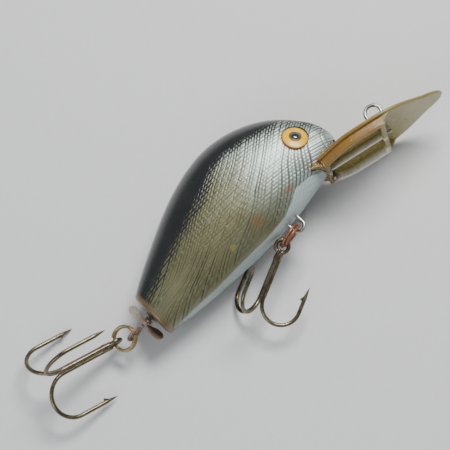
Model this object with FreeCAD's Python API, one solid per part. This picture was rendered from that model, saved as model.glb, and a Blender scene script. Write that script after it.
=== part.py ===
import FreeCAD, Part
import math
import os

os.makedirs("parts", exist_ok=True)

# A deep-diving crankbait lure lying on its left flank.
# Lengths are millimetres. Every part is drawn in the lure's own frame:
#   x runs forward from the square tail end to the nose,
#   y runs from the belly to the back,
#   z runs from the left flank (the one it lies on) to the right flank.
# The whole lure is then tipped onto the ground by settle() before export.

Vec = FreeCAD.Vector
X_AXIS = Vec(1, 0, 0)
Y_AXIS = Vec(0, 1, 0)
Z_AXIS = Vec(0, 0, 1)
GAP = 0.02                      # assembly gap between glued or clipped parts
BIG = 200.0                     # size of the boxes used to split shapes in two

# How the lure lies: the wide lip lifts the nose and a hook lifts the belly.
NOSE_UP_DEG = 4.0
BELLY_UP_DEG = 3.0

# Hollow body: x, belly height, back height and half thickness of each section.
BODY_SECTIONS = [
    (0.0, 0.0, 10.4, 4.4),
    (5.0, -0.6, 13.2, 5.4),
    (11.0, -1.2, 16.2, 6.5),
    (18.0, -1.7, 19.4, 7.3),
    (25.0, -2.0, 21.6, 7.7),
    (32.0, -1.9, 22.4, 7.6),
    (38.0, -1.4, 21.4, 7.1),
    (43.0, -0.6, 19.2, 6.4),
    (47.0, 0.2, 16.2, 5.5),
    (50.0, 1.4, 12.7, 4.4),
    (52.0, 2.9, 9.4, 3.0),
    (52.9, 4.3, 7.2, 1.6),
]
SECTION_POWER = 2.25            # 2 is an ellipse, more is boxier
SECTION_POINTS = 20
WALL = 1.4
CAVITY_START = 2.2
CAVITY_END = 50.6

# Mouth: a wedge cut across the head that takes the root of the lip.
MOUTH_CORNER = (43.7, 1.7)
MOUTH_TOP_END = (56.0, 4.8)
CHIN_FRONT = 46.2
CHIN_RADIUS = 0.9
CHIN_LOW = 0.1                  # the chin's edge is rounded between these heights
CHIN_HIGH = 1.0
MOUTH_BOTTOM = -5.0             # below the chin, in open air
MOUTH_BLOCK = (41.6, 5.9)       # the cavity stays behind x and above y here

# Lip: a flat paddle that slopes down from the mouth.
LIP_ROOT = Vec(46.3, 1.35, 0)
LIP_SLOPE_DEG = 13.3
LIP_THICK = 0.95
LIP_LENGTH = 29.4
LIP_ROOT_HALF = 6.4
LIP_SHOULDER = (5.0, 9.7)       # distance along the lip and half width there
LIP_WIDEST = (9.8, 10.35)
LIP_RIB_AT = 14.5
LIP_RIB_HALF = 10.2
LIP_WAIST = (20.4, 8.2)
LIP_TIP_START = (25.2, 4.6)
RAIL_HEIGHT = 1.75
RAIL_WIDTH = 1.3
RAIL_INSET = 0.7                # from the lip's edge to a rail's outer face
RAIL_START = 0.8
RAIL_RAMP = 2.6                 # the rails run out to nothing beyond the cross rib
CROSS_RIB_WIDTH = 1.2
CENTRE_RIB_WIDTH = 1.0
CENTRE_RIB_HEIGHT = 1.2
TONGUE_HALF = 2.0
TONGUE_BACK = 38.4
TONGUE_LOW = 0.9
TONGUE_HIGH = 4.2
TONGUE_PAST_CORNER = 3.0
TONGUE_PEG_AT = (40.2, 2.6)
TONGUE_PEG_R = 0.9
PIN_R = 0.5
PIN_HEAD_R = 0.85
PIN_AT = 1.7
PIN_ASIDE = 3.4
PIN_LENGTH = 2.6
FILLER_WIDTH = 10.6
FILLER_NOSE = [(0.3, 0.0), (5.2, 1.15), (6.0, -0.6), (3.2, -1.5)]    # from the mouth corner

# Line tie: a wire ring standing on the lip.
TIE_WIRE_R = 0.38
TIE_RING_R = 1.72
TIE_AT = 15.2
TIE_HEIGHT = 4.6
TIE_FOOT_DEPTH = 0.55           # under the blade
TIE_FOOT_LENGTH = 1.5

# Eyes.
EYE_AT = (46.6, 8.9)
EYE_R = 2.75
EYE_DEPTH = 0.9
EYE_DOME = 0.55
EYE_ASIDE = 5.45                # from the middle plane to the eye's seat
EYE_FACES = (0.42, 0.12, 0.9)   # direction the right eye looks in
POCKET_REACH = 6.0
PUPIL_R = 0.9
PUPIL_DEPTH = 0.35
PUPIL_BALL_R = 1.9
PUPIL_DOME = 0.23

# Belly hook hanger and its split ring.
HANGER_WIRE_R = 0.38
HANGER_BEND_R = 1.3
HANGER_AT = Vec(34.3, -3.25, 0)
HANGER_TOP = 1.6
HANGER_FOOT = 1.5
HANGER_SEAT = (6.4, 6.6, 3.6)   # block inside the belly that holds the feet
HANGER_SEAT_LOW = -3.0
RING_WIRE_R = 0.32
RING_PITCH = 0.68
RING_TURNS = 1.85
RING_STEPS = 16                 # points on each coil
BELLY_RING_R = 2.7
TAIL_RING_R = 2.5

# Tail wire, propeller and its bearings.
SHAFT_Y = 5.2
SHAFT_R = 0.4
SHAFT_FRONT = 9.0
SHAFT_FOOT = 1.2                # turned-up end inside the body
SHAFT_FOOT_BACK = 0.8
SHAFT_SEAT_R = 1.6
TAIL_LOOP_R = 1.55
TAIL_LOOP_X = -5.1
LOOP_THINNING = 0.9             # the bent loop is a little thinner than the shaft
WELD_SWELL = 1.15               # where the loop closes on the shaft
PROP_X = -2.05
PROP_HUB_R = 0.95
PROP_HUB_LEN = 0.8
PROP_BORE_R = 0.46
PROP_R = 4.8
PROP_PITCH_DEG = 32.0
PROP_SHEET = 0.35
BLADE_ROOT_HALF = 0.45
BLADE_NECK = (1.2, 0.75)        # radius and half width
BLADE_SWELL = (2.3, 1.55)
BLADE_SHOULDER = (3.9, 1.75)
BLADE_TIP_HALF = 0.75
WASHER_R = 1.5
WASHER_LEN = 0.4
WASHER_CLEAR = 0.1              # from the tail end
BEAD_R = 0.95
BEAD_LEN = 0.75
BEAD_PLAY = 0.15                # free length between hub, bead and washer

# Treble hooks. Point is the point's length as a share of the hook's length,
# and spin is how far the three hooks are turned about the shank at rest.
BELLY_HOOK = {"length": 15.8, "gape": 8.4, "wire": 0.42, "eye": 1.35,
              "point": 0.45, "spin": 12.0}
TAIL_HOOK = {"length": 18.0, "gape": 10.1, "wire": 0.45, "eye": 1.35,
             "point": 0.60, "spin": 0.0}
TAPER = 2.6
TIP_R = 0.06
BARB_BACK = 3.0
BARB_RISE = 0.55
BARB_LEN = 1.6
BARB_HEEL = 0.3
BARB_SINK = 0.4                 # share of the wire's radius that the barb starts in
EYE_STEM = 0.95
HUB_START = 1.2                 # hub radii in wire radii
HUB_END = 1.9
BRAZE_AT = 3.2
BRAZE_LEN = 4.5
BRAZE_SHARE = 0.9

# Ballast and rattle inside the body.
BALLAST_AT = Vec(21.0, 1.9, 0)
BALLAST_R = 2.2
BALLAST_LEN = 8.5
RATTLE_AT = Vec(30.0, 12.5, 0)
RATTLE_BALL_R = 2.2
RATTLE_BORE_R = 2.5
RATTLE_TRAVEL = 6.0
RATTLE_WALL = 0.9
RATTLE_END_PLAY = 0.2
BULKHEADS = [25.6, 33.2]        # ribs that carry the rattle tube
BULKHEAD_THICK = 1.2
PEG_R = 1.0
PEG_WALL = 0.8
PEG_OUT = 1.4                   # how far a peg stands into the other half
PEG_ROOT = 0.4
PEG_HOLE = 2.0
PEG_PLACES = [(9.0, 9.5), (40.0, 15.0), (24.0, 18.0)]
CHEEK = 9.0                     # wider than the body's half thickness
SEAT_WALL = 0.9


def unit(vector):
    """Return the vector scaled to length one."""
    result = Vec(vector)
    result.normalize()
    return result


def rest_tilt():
    """Placement that tips the lure onto the ground."""
    pitch = FreeCAD.Rotation(Y_AXIS, -NOSE_UP_DEG)
    roll = FreeCAD.Rotation(X_AXIS, -BELLY_UP_DEG)
    return FreeCAD.Placement(Vec(0, 0, 0), roll.multiply(pitch))


def settle(nodes):
    """Tip every part, then put the origin under the middle of the whole lure."""
    tilt = rest_tilt()
    for shape in nodes.values():
        shape.Placement = tilt.multiply(shape.Placement)
    box = Part.makeCompound(list(nodes.values())).optimalBoundingBox(False)
    shift = Vec(-box.Center.x, -box.Center.y, -box.ZMin)
    for shape in nodes.values():
        shape.translate(shift)


def tube(path_edges, radius):
    """Round wire of the given radius along a smooth chain of edges."""
    path = Part.Wire(path_edges)
    start = path_edges[0].Vertexes[0].Point
    along = path_edges[0].tangentAt(path_edges[0].FirstParameter)
    profile = Part.Wire([Part.makeCircle(radius, start, along)])
    return path.makePipeShell([profile], True, True)


def polygon_prism(points, thickness, along):
    """Prism on a closed polygon, centred on the polygon's plane."""
    wire = Part.makePolygon(points + [points[0]])
    prism = Part.Face(wire).extrude(along * thickness)
    prism.translate(along * (-thickness / 2.0))
    return prism


# ---------------------------------------------------------------- body shell

def section_wire(x, low, high, half, inset):
    """Closed cross-section of the body at x, drawn inwards by inset."""
    middle = (low + high) / 2.0
    tall = (high - low) / 2.0 - inset
    wide = half - inset
    power = 2.0 / SECTION_POWER
    points = []
    for i in range(SECTION_POINTS):
        angle = 2.0 * math.pi * i / SECTION_POINTS
        c = math.cos(angle)
        s = math.sin(angle)
        y = middle + tall * math.copysign(abs(c) ** power, c)
        z = wide * math.copysign(abs(s) ** power, s)
        points.append(Vec(x, y, z))
    curve = Part.BSplineCurve()
    curve.interpolate(points, PeriodicFlag=True)
    return Part.Wire([curve.toShape()])


def body_loft(inset):
    """Solid body drawn inwards by inset."""
    wires = [section_wire(*section, inset) for section in BODY_SECTIONS]
    return Part.makeLoft(wires, True, False)


def mouth_wedge():
    """The wedge of air in front of the mouth corner and the chin."""
    corner = Vec(MOUTH_CORNER[0], MOUTH_CORNER[1], 0)
    points = [
        corner,
        Vec(MOUTH_TOP_END[0], MOUTH_TOP_END[1], 0),
        Vec(MOUTH_TOP_END[0], MOUTH_BOTTOM, 0),
        Vec(CHIN_FRONT, MOUTH_BOTTOM, 0),
        Vec(CHIN_FRONT, CHIN_LOW, 0),
        Vec(CHIN_FRONT - CHIN_RADIUS, CHIN_HIGH, 0),
    ]
    return polygon_prism(points, BIG, Z_AXIS)


def tongue_box(gap):
    """The block of the lip's tongue, grown by gap on every side."""
    size = Vec(MOUTH_CORNER[0] + TONGUE_PAST_CORNER - TONGUE_BACK + gap,
               TONGUE_HIGH - TONGUE_LOW + 2 * gap,
               2 * (TONGUE_HALF + gap))
    corner = Vec(TONGUE_BACK - gap, TONGUE_LOW - gap, -TONGUE_HALF - gap)
    return Part.makeBox(size.x, size.y, size.z, corner)


def rattle_tube(radius, extra):
    """Cylinder along the rattle's travel, longer by extra at both ends."""
    length = 2 * RATTLE_BALL_R + RATTLE_TRAVEL + 2 * extra
    start = RATTLE_AT - X_AXIS * (RATTLE_BALL_R + RATTLE_TRAVEL / 2.0 + extra)
    return Part.makeCylinder(radius, length, start, X_AXIS)


def eye_frame(side):
    """Point on the cheek under an eye and the outward direction there."""
    normal = unit(Vec(EYE_FACES[0], EYE_FACES[1], side * EYE_FACES[2]))
    centre = Vec(EYE_AT[0], EYE_AT[1], side * EYE_ASIDE)
    return centre, normal


def eye_pocket(side):
    """Round pocket in the cheek that takes one eye."""
    centre, normal = eye_frame(side)
    floor = centre - normal * EYE_DEPTH
    return Part.makeCylinder(EYE_R + GAP, POCKET_REACH, floor, normal)


def cross_rod(x, y, radius, half):
    """Rod across the lure."""
    return Part.makeCylinder(radius, 2 * half, Vec(x, y, -half), Z_AXIS)


def tongue_lock():
    """Long peg of the left half that passes through the lip's tongue."""
    start = Vec(TONGUE_PEG_AT[0], TONGUE_PEG_AT[1], -CHEEK)
    return Part.makeCylinder(TONGUE_PEG_R, CHEEK + TONGUE_HALF, start, Z_AXIS)


def body_inside():
    """Everything that is hollow in the body shell."""
    cavity = body_loft(WALL)
    keep = Part.makeBox(CAVITY_END - CAVITY_START, BIG, BIG,
                        Vec(CAVITY_START, -BIG / 2, -BIG / 2))
    cavity = cavity.common(keep)
    jaw = Part.makeBox(BIG, MOUTH_BLOCK[1] + BIG, BIG,
                       Vec(MOUTH_BLOCK[0], -BIG, -BIG / 2))
    return cavity.cut(jaw)


def wire_seats():
    """Blocks that hold the tail wire, the hanger, the ballast and the rattle."""
    shaft = Part.makeCylinder(SHAFT_SEAT_R, SHAFT_FRONT + SHAFT_SEAT_R,
                              Vec(0, SHAFT_Y, 0), X_AXIS)
    hanger_corner = Vec(HANGER_AT.x - HANGER_SEAT[0] / 2, HANGER_SEAT_LOW,
                        -HANGER_SEAT[2] / 2)
    hanger = Part.makeBox(*HANGER_SEAT, hanger_corner)
    ballast_start = BALLAST_AT - X_AXIS * (BALLAST_LEN / 2 + SEAT_WALL)
    ballast = Part.makeCylinder(BALLAST_R + SEAT_WALL, BALLAST_LEN + 2 * SEAT_WALL,
                                ballast_start, X_AXIS)
    rattle = rattle_tube(RATTLE_BORE_R + RATTLE_WALL, RATTLE_WALL)
    seats = [shaft, hanger, ballast, rattle]
    for x in BULKHEADS:
        seats.append(Part.makeBox(BULKHEAD_THICK, BIG, BIG, Vec(x, -BIG / 2, -BIG / 2)))
    for x, y in PEG_PLACES:
        seats.append(cross_rod(x, y, PEG_R + PEG_WALL, CHEEK))
    return seats


def shell_halves(taken):
    """Left and right half shells, with the space of the held parts removed."""
    outer = body_loft(0.0)
    shell = outer.cut(body_inside())
    for seat in wire_seats():
        shell = shell.fuse(seat.common(outer))
    shell = shell.cut(rattle_tube(RATTLE_BORE_R, RATTLE_END_PLAY))
    shell = shell.cut(mouth_wedge())
    shell = shell.cut(tongue_box(GAP))
    for side in (-1, 1):
        shell = shell.cut(eye_pocket(side))
    for shape in taken:
        shell = shell.cut(shape)
    right_box = Part.makeBox(BIG, BIG, BIG, Vec(-BIG / 2, -BIG / 2, GAP / 2))
    left_box = Part.makeBox(BIG, BIG, BIG, Vec(-BIG / 2, -BIG / 2, -BIG - GAP / 2))
    right = shell.common(right_box)
    left = shell.common(left_box)
    for x, y in PEG_PLACES:
        peg = Part.makeCylinder(PEG_R, PEG_OUT + PEG_ROOT, Vec(x, y, -PEG_ROOT), Z_AXIS)
        left = left.fuse(peg)
        hole = Part.makeCylinder(PEG_R + GAP, PEG_HOLE, Vec(x, y, 0), Z_AXIS)
        right = right.cut(hole)
    left = left.fuse(tongue_lock().common(outer))
    return left.removeSplitter(), right.removeSplitter()


# ----------------------------------------------------------------------- lip

def lip_frame():
    """Placement that takes lip coordinates (along, across, up) to the lure."""
    along = unit(Vec(math.cos(math.radians(LIP_SLOPE_DEG)),
                     -math.sin(math.radians(LIP_SLOPE_DEG)), 0))
    up = Z_AXIS.cross(along)
    across = up.cross(along)
    rotation = FreeCAD.Rotation(along, across, up, "XZY")
    return FreeCAD.Placement(LIP_ROOT, rotation)


def lip_plate():
    """The flat blade, drawn flat: along x, across y, underside at z = 0."""
    root = Vec(0, LIP_ROOT_HALF, 0)
    shoulder = Vec(*LIP_SHOULDER, 0)
    rib = Vec(LIP_RIB_AT, LIP_RIB_HALF, 0)
    tip_start = Vec(*LIP_TIP_START, 0)
    edges = [
        Part.makeLine(root, shoulder),
        Part.Arc(shoulder, Vec(*LIP_WIDEST, 0), rib).toShape(),
        Part.Arc(rib, Vec(*LIP_WAIST, 0), tip_start).toShape(),
    ]
    mirror = [edge.mirror(Vec(0, 0, 0), Y_AXIS) for edge in edges]
    tip = Part.Arc(tip_start, Vec(LIP_LENGTH, 0, 0), Vec(tip_start.x, -tip_start.y, 0))
    base = Part.makeLine(root, Vec(0, -LIP_ROOT_HALF, 0))
    outline = Part.Wire(Part.__sortEdges__(edges + mirror + [tip.toShape(), base]))
    return Part.Face(outline).extrude(Z_AXIS * LIP_THICK)


def side_rail(side):
    """One rail under the blade's edge, running out beyond the cross rib."""
    outer = [
        Vec(RAIL_START, side * (LIP_ROOT_HALF - RAIL_INSET / 2), 0),
        Vec(LIP_SHOULDER[0], side * (LIP_SHOULDER[1] - RAIL_INSET), 0),
        Vec(LIP_RIB_AT, side * (LIP_RIB_HALF - RAIL_INSET), 0),
    ]
    inner = [point + Vec(0, -side * RAIL_WIDTH, 0) for point in reversed(outer)]
    wire = Part.makePolygon(outer + inner + [outer[0]])
    rail = Part.Face(wire).extrude(Z_AXIS * -RAIL_HEIGHT)
    ramp = polygon_prism([Vec(LIP_RIB_AT, 0, 0), Vec(LIP_RIB_AT + RAIL_RAMP, 0, 0),
                          Vec(LIP_RIB_AT, 0, -RAIL_HEIGHT)], RAIL_WIDTH, Y_AXIS)
    ramp.translate(Vec(0, side * (LIP_RIB_HALF - RAIL_INSET - RAIL_WIDTH / 2), 0))
    return rail.fuse(ramp)


def cross_rib(x, half):
    """Straight wall across the underside of the lip."""
    return Part.makeBox(CROSS_RIB_WIDTH, 2 * half, RAIL_HEIGHT,
                        Vec(x - CROSS_RIB_WIDTH / 2, -half, -RAIL_HEIGHT))


def lip_rails():
    """Side rails, centre rib and cross ribs under the blade."""
    centre = Part.makeBox(LIP_RIB_AT - RAIL_START, CENTRE_RIB_WIDTH, CENTRE_RIB_HEIGHT,
                          Vec(RAIL_START, -CENTRE_RIB_WIDTH / 2, -CENTRE_RIB_HEIGHT))
    root_wall = cross_rib(RAIL_START, LIP_ROOT_HALF - RAIL_INSET / 2)
    end_wall = cross_rib(LIP_RIB_AT, LIP_RIB_HALF - RAIL_INSET)
    return [side_rail(-1), side_rail(1), centre, root_wall, end_wall]


def lip_solid(taken):
    """Lip with its rails, mouth wedge and tongue, in the lure's frame."""
    blade = lip_plate()
    for rail in lip_rails():
        blade = blade.fuse(rail)
    blade.Placement = lip_frame()
    blade = blade.fuse(mouth_filler()).fuse(tongue_box(0.0))
    peg_hole = cross_rod(TONGUE_PEG_AT[0], TONGUE_PEG_AT[1], TONGUE_PEG_R + GAP, CHEEK)
    blade = blade.cut(peg_hole)
    for shape in taken:
        blade = blade.cut(shape)
    return blade.removeSplitter()


def mouth_filler():
    """Wedge of lip plastic that fills the mouth between the jaws."""
    corner = Vec(MOUTH_CORNER[0], MOUTH_CORNER[1], 0)
    nose = [corner + Vec(x, y, 0) for x, y in FILLER_NOSE]
    chin = [
        Vec(CHIN_FRONT + GAP, CHIN_LOW + 2 * GAP, 0),
        Vec(CHIN_FRONT - CHIN_RADIUS + GAP, CHIN_HIGH + 2 * GAP, 0),
    ]
    return polygon_prism(nose + chin, FILLER_WIDTH, Z_AXIS)


def lip_pin(radius, head_radius):
    """Small round-headed pin through the root of the lip into the chin."""
    frame = lip_frame()
    seat = Vec(PIN_AT, PIN_ASIDE, -RAIL_HEIGHT)
    shank = Part.makeCylinder(radius, PIN_LENGTH, seat, Z_AXIS)
    below = Part.makeBox(BIG, BIG, BIG, Vec(-BIG / 2, -BIG / 2, seat.z - BIG))
    pin = shank.fuse(Part.makeSphere(head_radius, seat).common(below))
    pin.Placement = frame
    return pin


def line_tie(radius):
    """Wire ring with a stem that goes through the lip and is bent over under it."""
    ring_centre = Vec(TIE_AT, 0, TIE_HEIGHT)
    ring = Part.makeTorus(TIE_RING_R, radius, ring_centre, Y_AXIS)
    bottom = Vec(TIE_AT, 0, -TIE_FOOT_DEPTH - TIE_WIRE_R / 2)
    stem = Part.makeCylinder(radius, TIE_HEIGHT - TIE_RING_R - bottom.z, bottom, Z_AXIS)
    foot = Part.makeCylinder(radius, TIE_FOOT_LENGTH,
                             Vec(TIE_AT - TIE_WIRE_R / 2, 0, -TIE_FOOT_DEPTH), X_AXIS)
    tie = ring.fuse(stem).fuse(foot)
    tie.Placement = lip_frame()
    return tie


# ---------------------------------------------------------------------- eyes

def eye_parts(side):
    """Domed eye disc with a pocket for the pupil, and the pupil."""
    centre, normal = eye_frame(side)
    floor = centre - normal * (EYE_DEPTH - GAP)
    disc = Part.makeCylinder(EYE_R, EYE_DEPTH, floor, normal)
    ball_r = (EYE_R ** 2 + EYE_DOME ** 2) / (2 * EYE_DOME)
    rim = floor + normal * EYE_DEPTH
    ball = Part.makeSphere(ball_r, rim - normal * (ball_r - EYE_DOME))
    cap = Part.makeCylinder(EYE_R, 2 * EYE_DOME, rim, normal).common(ball)
    eye = disc.fuse(cap).removeSplitter()
    seat = rim + normal * (EYE_DOME - PUPIL_DEPTH)
    eye = eye.cut(Part.makeCylinder(PUPIL_R + GAP, POCKET_REACH, seat, normal))
    pupil = Part.makeCylinder(PUPIL_R, PUPIL_DEPTH, seat + normal * GAP, normal)
    top = seat + normal * (PUPIL_DEPTH + GAP)
    pupil_ball = Part.makeSphere(PUPIL_BALL_R, top - normal * (PUPIL_BALL_R - PUPIL_DOME))
    dome = Part.makeCylinder(PUPIL_R, 2 * PUPIL_DOME, top, normal).common(pupil_ball)
    return eye, pupil.fuse(dome).removeSplitter()


# ----------------------------------------------------------- wires and rings

def hanger_wire(radius):
    """U-shaped hook hanger with its two feet splayed inside the belly."""
    c = HANGER_AT
    bend = HANGER_BEND_R
    top = HANGER_TOP
    edges = [
        Part.makeLine(Vec(c.x - bend, top, 0), Vec(c.x - bend, c.y, 0)),
        Part.Arc(Vec(c.x - bend, c.y, 0), Vec(c.x, c.y - bend, 0),
                 Vec(c.x + bend, c.y, 0)).toShape(),
        Part.makeLine(Vec(c.x + bend, c.y, 0), Vec(c.x + bend, top, 0)),
    ]
    wire = tube(edges, radius)
    for side in (-1, 1):
        start = Vec(c.x + side * (bend - radius), top - radius, 0)
        foot = Part.makeCylinder(radius, HANGER_FOOT, start, X_AXIS * side)
        wire = wire.fuse(foot)
    return wire.removeSplitter()


def tail_wire(radius):
    """Tail shaft with a hook-hanging loop behind and a bent foot inside."""
    loop_wire = radius * LOOP_THINNING
    loop = Part.makeTorus(TAIL_LOOP_R, loop_wire, Vec(TAIL_LOOP_X, SHAFT_Y, 0), Y_AXIS)
    weld = Vec(TAIL_LOOP_X + TAIL_LOOP_R, SHAFT_Y, 0)
    shaft = Part.makeCylinder(radius, SHAFT_FRONT - weld.x, weld, X_AXIS)
    bead = Part.makeSphere(radius * WELD_SWELL, weld)
    foot = Part.makeCylinder(radius, SHAFT_FOOT,
                             Vec(SHAFT_FRONT - SHAFT_FOOT_BACK, SHAFT_Y, 0), Y_AXIS)
    return shaft.fuse(bead).fuse(loop).fuse(foot).removeSplitter()


def split_ring(radius):
    """Ring of nearly two coils about +Z, with both coils level at local -X."""
    height = RING_PITCH * RING_TURNS
    steps = round(RING_TURNS * RING_STEPS)
    points = []
    for i in range(steps + 1):
        angle = 2.0 * math.pi * RING_TURNS * i / steps
        points.append(Vec(radius * math.cos(angle), radius * math.sin(angle),
                          height * (i / steps - 0.5)))
    coil = Part.BSplineCurve()
    coil.interpolate(points)
    ring = tube([coil.toShape()], RING_WIRE_R)
    level_deg = 360.0 * (RING_TURNS - 1.0) / 2.0
    ring.rotate(Vec(0, 0, 0), Z_AXIS, 180.0 - level_deg)
    return ring


def frame_at(origin, x_dir, z_hint):
    """Placement with the given origin and local x, and local z near the hint."""
    x = unit(x_dir)
    y = unit(z_hint.cross(x))
    z = x.cross(y)
    return FreeCAD.Placement(origin, FreeCAD.Rotation(x, y, z, "XYZ"))


# -------------------------------------------------------------------- hooks

def hook_wire(hook, angle_deg, offset):
    """One bent and pointed hook wire: shank along x, spread at angle about x."""
    wire_r = hook["wire"]
    bend_r = (hook["gape"] - offset) / 2.0
    straight = hook["length"] - bend_r - wire_r
    point_len = hook["length"] * hook["point"] - bend_r
    back = straight - point_len
    edges = [
        Part.makeLine(Vec(EYE_STEM, offset, 0), Vec(straight, offset, 0)),
        Part.Arc(Vec(straight, offset, 0), Vec(straight + bend_r, offset + bend_r, 0),
                 Vec(straight, offset + 2 * bend_r, 0)).toShape(),
        Part.makeLine(Vec(straight, hook["gape"], 0), Vec(back, hook["gape"], 0)),
    ]
    wire = tube(edges, wire_r)
    cone = Part.makeCone(wire_r, TIP_R, TAPER, Vec(back, hook["gape"], 0), X_AXIS * -1)
    barb_foot = back + BARB_BACK - TAPER
    barb_points = [
        Vec(barb_foot - BARB_LEN, hook["gape"] - wire_r * BARB_SINK, 0),
        Vec(barb_foot, hook["gape"] - wire_r - BARB_RISE, 0),
        Vec(barb_foot + BARB_HEEL, hook["gape"] - wire_r * BARB_SINK, 0),
    ]
    barb = polygon_prism(barb_points, wire_r, Z_AXIS)
    wire = wire.fuse(cone).fuse(barb).removeSplitter()
    wire.rotate(Vec(0, 0, 0), X_AXIS, angle_deg)
    return wire


def treble(hook, single_angle):
    """Double hook with the eye, and the third hook brazed beside its shank."""
    wire_r = hook["wire"]
    gap_offset = wire_r * 2.0 / math.sqrt(3.0) + GAP
    double = Part.makeTorus(hook["eye"], wire_r, Vec(0, 0, 0), Z_AXIS)
    hub = Part.makeCone(wire_r * HUB_START, wire_r * HUB_END, EYE_STEM,
                        Vec(hook["eye"], 0, 0), X_AXIS)
    double = double.fuse(hub)
    for angle in (single_angle - 120, single_angle + 120):
        double = double.fuse(hook_wire(hook, angle, gap_offset))
    single = hook_wire(hook, single_angle, gap_offset)
    braze = Part.makeCylinder(wire_r * BRAZE_SHARE, BRAZE_LEN, Vec(BRAZE_AT, 0, 0), X_AXIS)
    double = double.fuse(braze)
    single = single.cut(double)
    keep = max(single.Solids, key=lambda solid: solid.Volume)
    return double.removeSplitter(), keep


# ------------------------------------------------------ propeller and beads

def prop_blade(side):
    """One twisted sheet blade pointing up or down."""
    edge = [(0, BLADE_ROOT_HALF), BLADE_NECK, BLADE_SWELL, BLADE_SHOULDER,
            (PROP_R, BLADE_TIP_HALF)]
    front = [Vec(0, radius, half) for radius, half in edge]
    rear = [Vec(0, radius, -half) for radius, half in reversed(edge)]
    points = front + rear
    blade = polygon_prism(points, PROP_SHEET, X_AXIS)
    blade.rotate(Vec(0, 0, 0), Y_AXIS, PROP_PITCH_DEG)
    if side < 0:
        blade.rotate(Vec(0, 0, 0), X_AXIS, 180)
    return blade


def propeller():
    """Two-blade propeller with its bored hub."""
    hub = Part.makeCylinder(PROP_HUB_R, PROP_HUB_LEN,
                            Vec(-PROP_HUB_LEN / 2, 0, 0), X_AXIS)
    prop = hub.fuse(prop_blade(1)).fuse(prop_blade(-1))
    bore = Part.makeCylinder(PROP_BORE_R, 2 * PROP_R, Vec(-PROP_R, 0, 0), X_AXIS)
    prop = prop.cut(bore).removeSplitter()
    prop.translate(Vec(PROP_X, SHAFT_Y, 0))
    return prop


def cup_washer():
    """Bored washer between the body and the bead."""
    start = Vec(-WASHER_LEN - WASHER_CLEAR, SHAFT_Y, 0)
    disc = Part.makeCylinder(WASHER_R, WASHER_LEN, start, X_AXIS)
    return disc.cut(Part.makeCylinder(SHAFT_R + GAP, WASHER_LEN, start, X_AXIS))


def shaft_bead():
    """Bored round bead between the cup washer and the propeller."""
    x = PROP_X + PROP_HUB_LEN / 2 + BEAD_PLAY
    bead = Part.makeSphere(BEAD_R, Vec(x + BEAD_LEN / 2, SHAFT_Y, 0))
    slab = Part.makeCylinder(2 * BEAD_R, BEAD_LEN, Vec(x, SHAFT_Y, 0), X_AXIS)
    bore = Part.makeCylinder(PROP_BORE_R, BEAD_LEN, Vec(x, SHAFT_Y, 0), X_AXIS)
    return bead.common(slab).cut(bore)


# ---------------------------------------------------------- hanging places

# Directions in which the loose rings and hooks lie at rest.
BELLY_RING_BACK = Vec(-1, -0.14, 0)
BELLY_RING_AXIS = Vec(-0.14, 1, 0.12)
BELLY_SHANK = Vec(-0.92, -0.36, -0.12)
TAIL_RING_BACK = Vec(-0.83, 0.442, -0.342)
TAIL_RING_AXIS = Vec(-0.302, 0.161, 0.941)
TAIL_SHANK = Vec(-0.90, 0.16, 0.41)


def hang(nodes, place, hook, ring_r, loop, back, axis, shank):
    """Hang a split ring on a loop and a treble on the ring, as they lie at rest."""
    ring = split_ring(ring_r)
    ring_frame = frame_at(loop + unit(back) * ring_r, back, axis)
    ring.Placement = ring_frame.multiply(ring.Placement)
    eye = ring_frame.multVec(Vec(ring_r, 0, 0))
    tangent = ring_frame.Rotation.multVec(Y_AXIS)
    frame = frame_at(eye, shank, tangent)
    up = frame.Rotation.inverted().multVec(Z_AXIS)
    double, single = treble(hook, math.degrees(math.atan2(up.z, up.y)) + hook["spin"])
    double.Placement = frame
    single.Placement = frame
    nodes[place + "_split_ring"] = ring
    nodes[place + "_treble_double"] = double
    nodes[place + "_treble_single"] = single


def fixed_parts(nodes):
    """Build the shell, the lip and everything that is fast in them."""
    pin_hole = lip_pin(PIN_R + GAP, PIN_HEAD_R + GAP)
    tie_hole = line_tie(TIE_WIRE_R + GAP)
    ballast_start = BALLAST_AT - X_AXIS * (BALLAST_LEN / 2)
    ballast_space = Part.makeCylinder(BALLAST_R + GAP, BALLAST_LEN + 2 * GAP,
                                      ballast_start - X_AXIS * GAP, X_AXIS)
    taken = [hanger_wire(HANGER_WIRE_R + GAP), tail_wire(SHAFT_R + GAP),
             ballast_space, pin_hole, lip_solid([])]
    left, right = shell_halves(taken)
    nodes["body_shell_left"] = left
    nodes["body_shell_right"] = right
    nodes["diving_lip"] = lip_solid([tie_hole, pin_hole])
    nodes["lip_pin"] = lip_pin(PIN_R, PIN_HEAD_R)
    nodes["line_tie"] = line_tie(TIE_WIRE_R)
    for side, name in ((-1, "left"), (1, "right")):
        eye, pupil = eye_parts(side)
        nodes["eye_" + name] = eye
        nodes["pupil_" + name] = pupil
    nodes["belly_hanger"] = hanger_wire(HANGER_WIRE_R)
    nodes["tail_wire"] = tail_wire(SHAFT_R)
    nodes["ballast_weight"] = Part.makeCylinder(BALLAST_R, BALLAST_LEN, ballast_start, X_AXIS)
    nodes["cup_washer"] = cup_washer()


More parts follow.
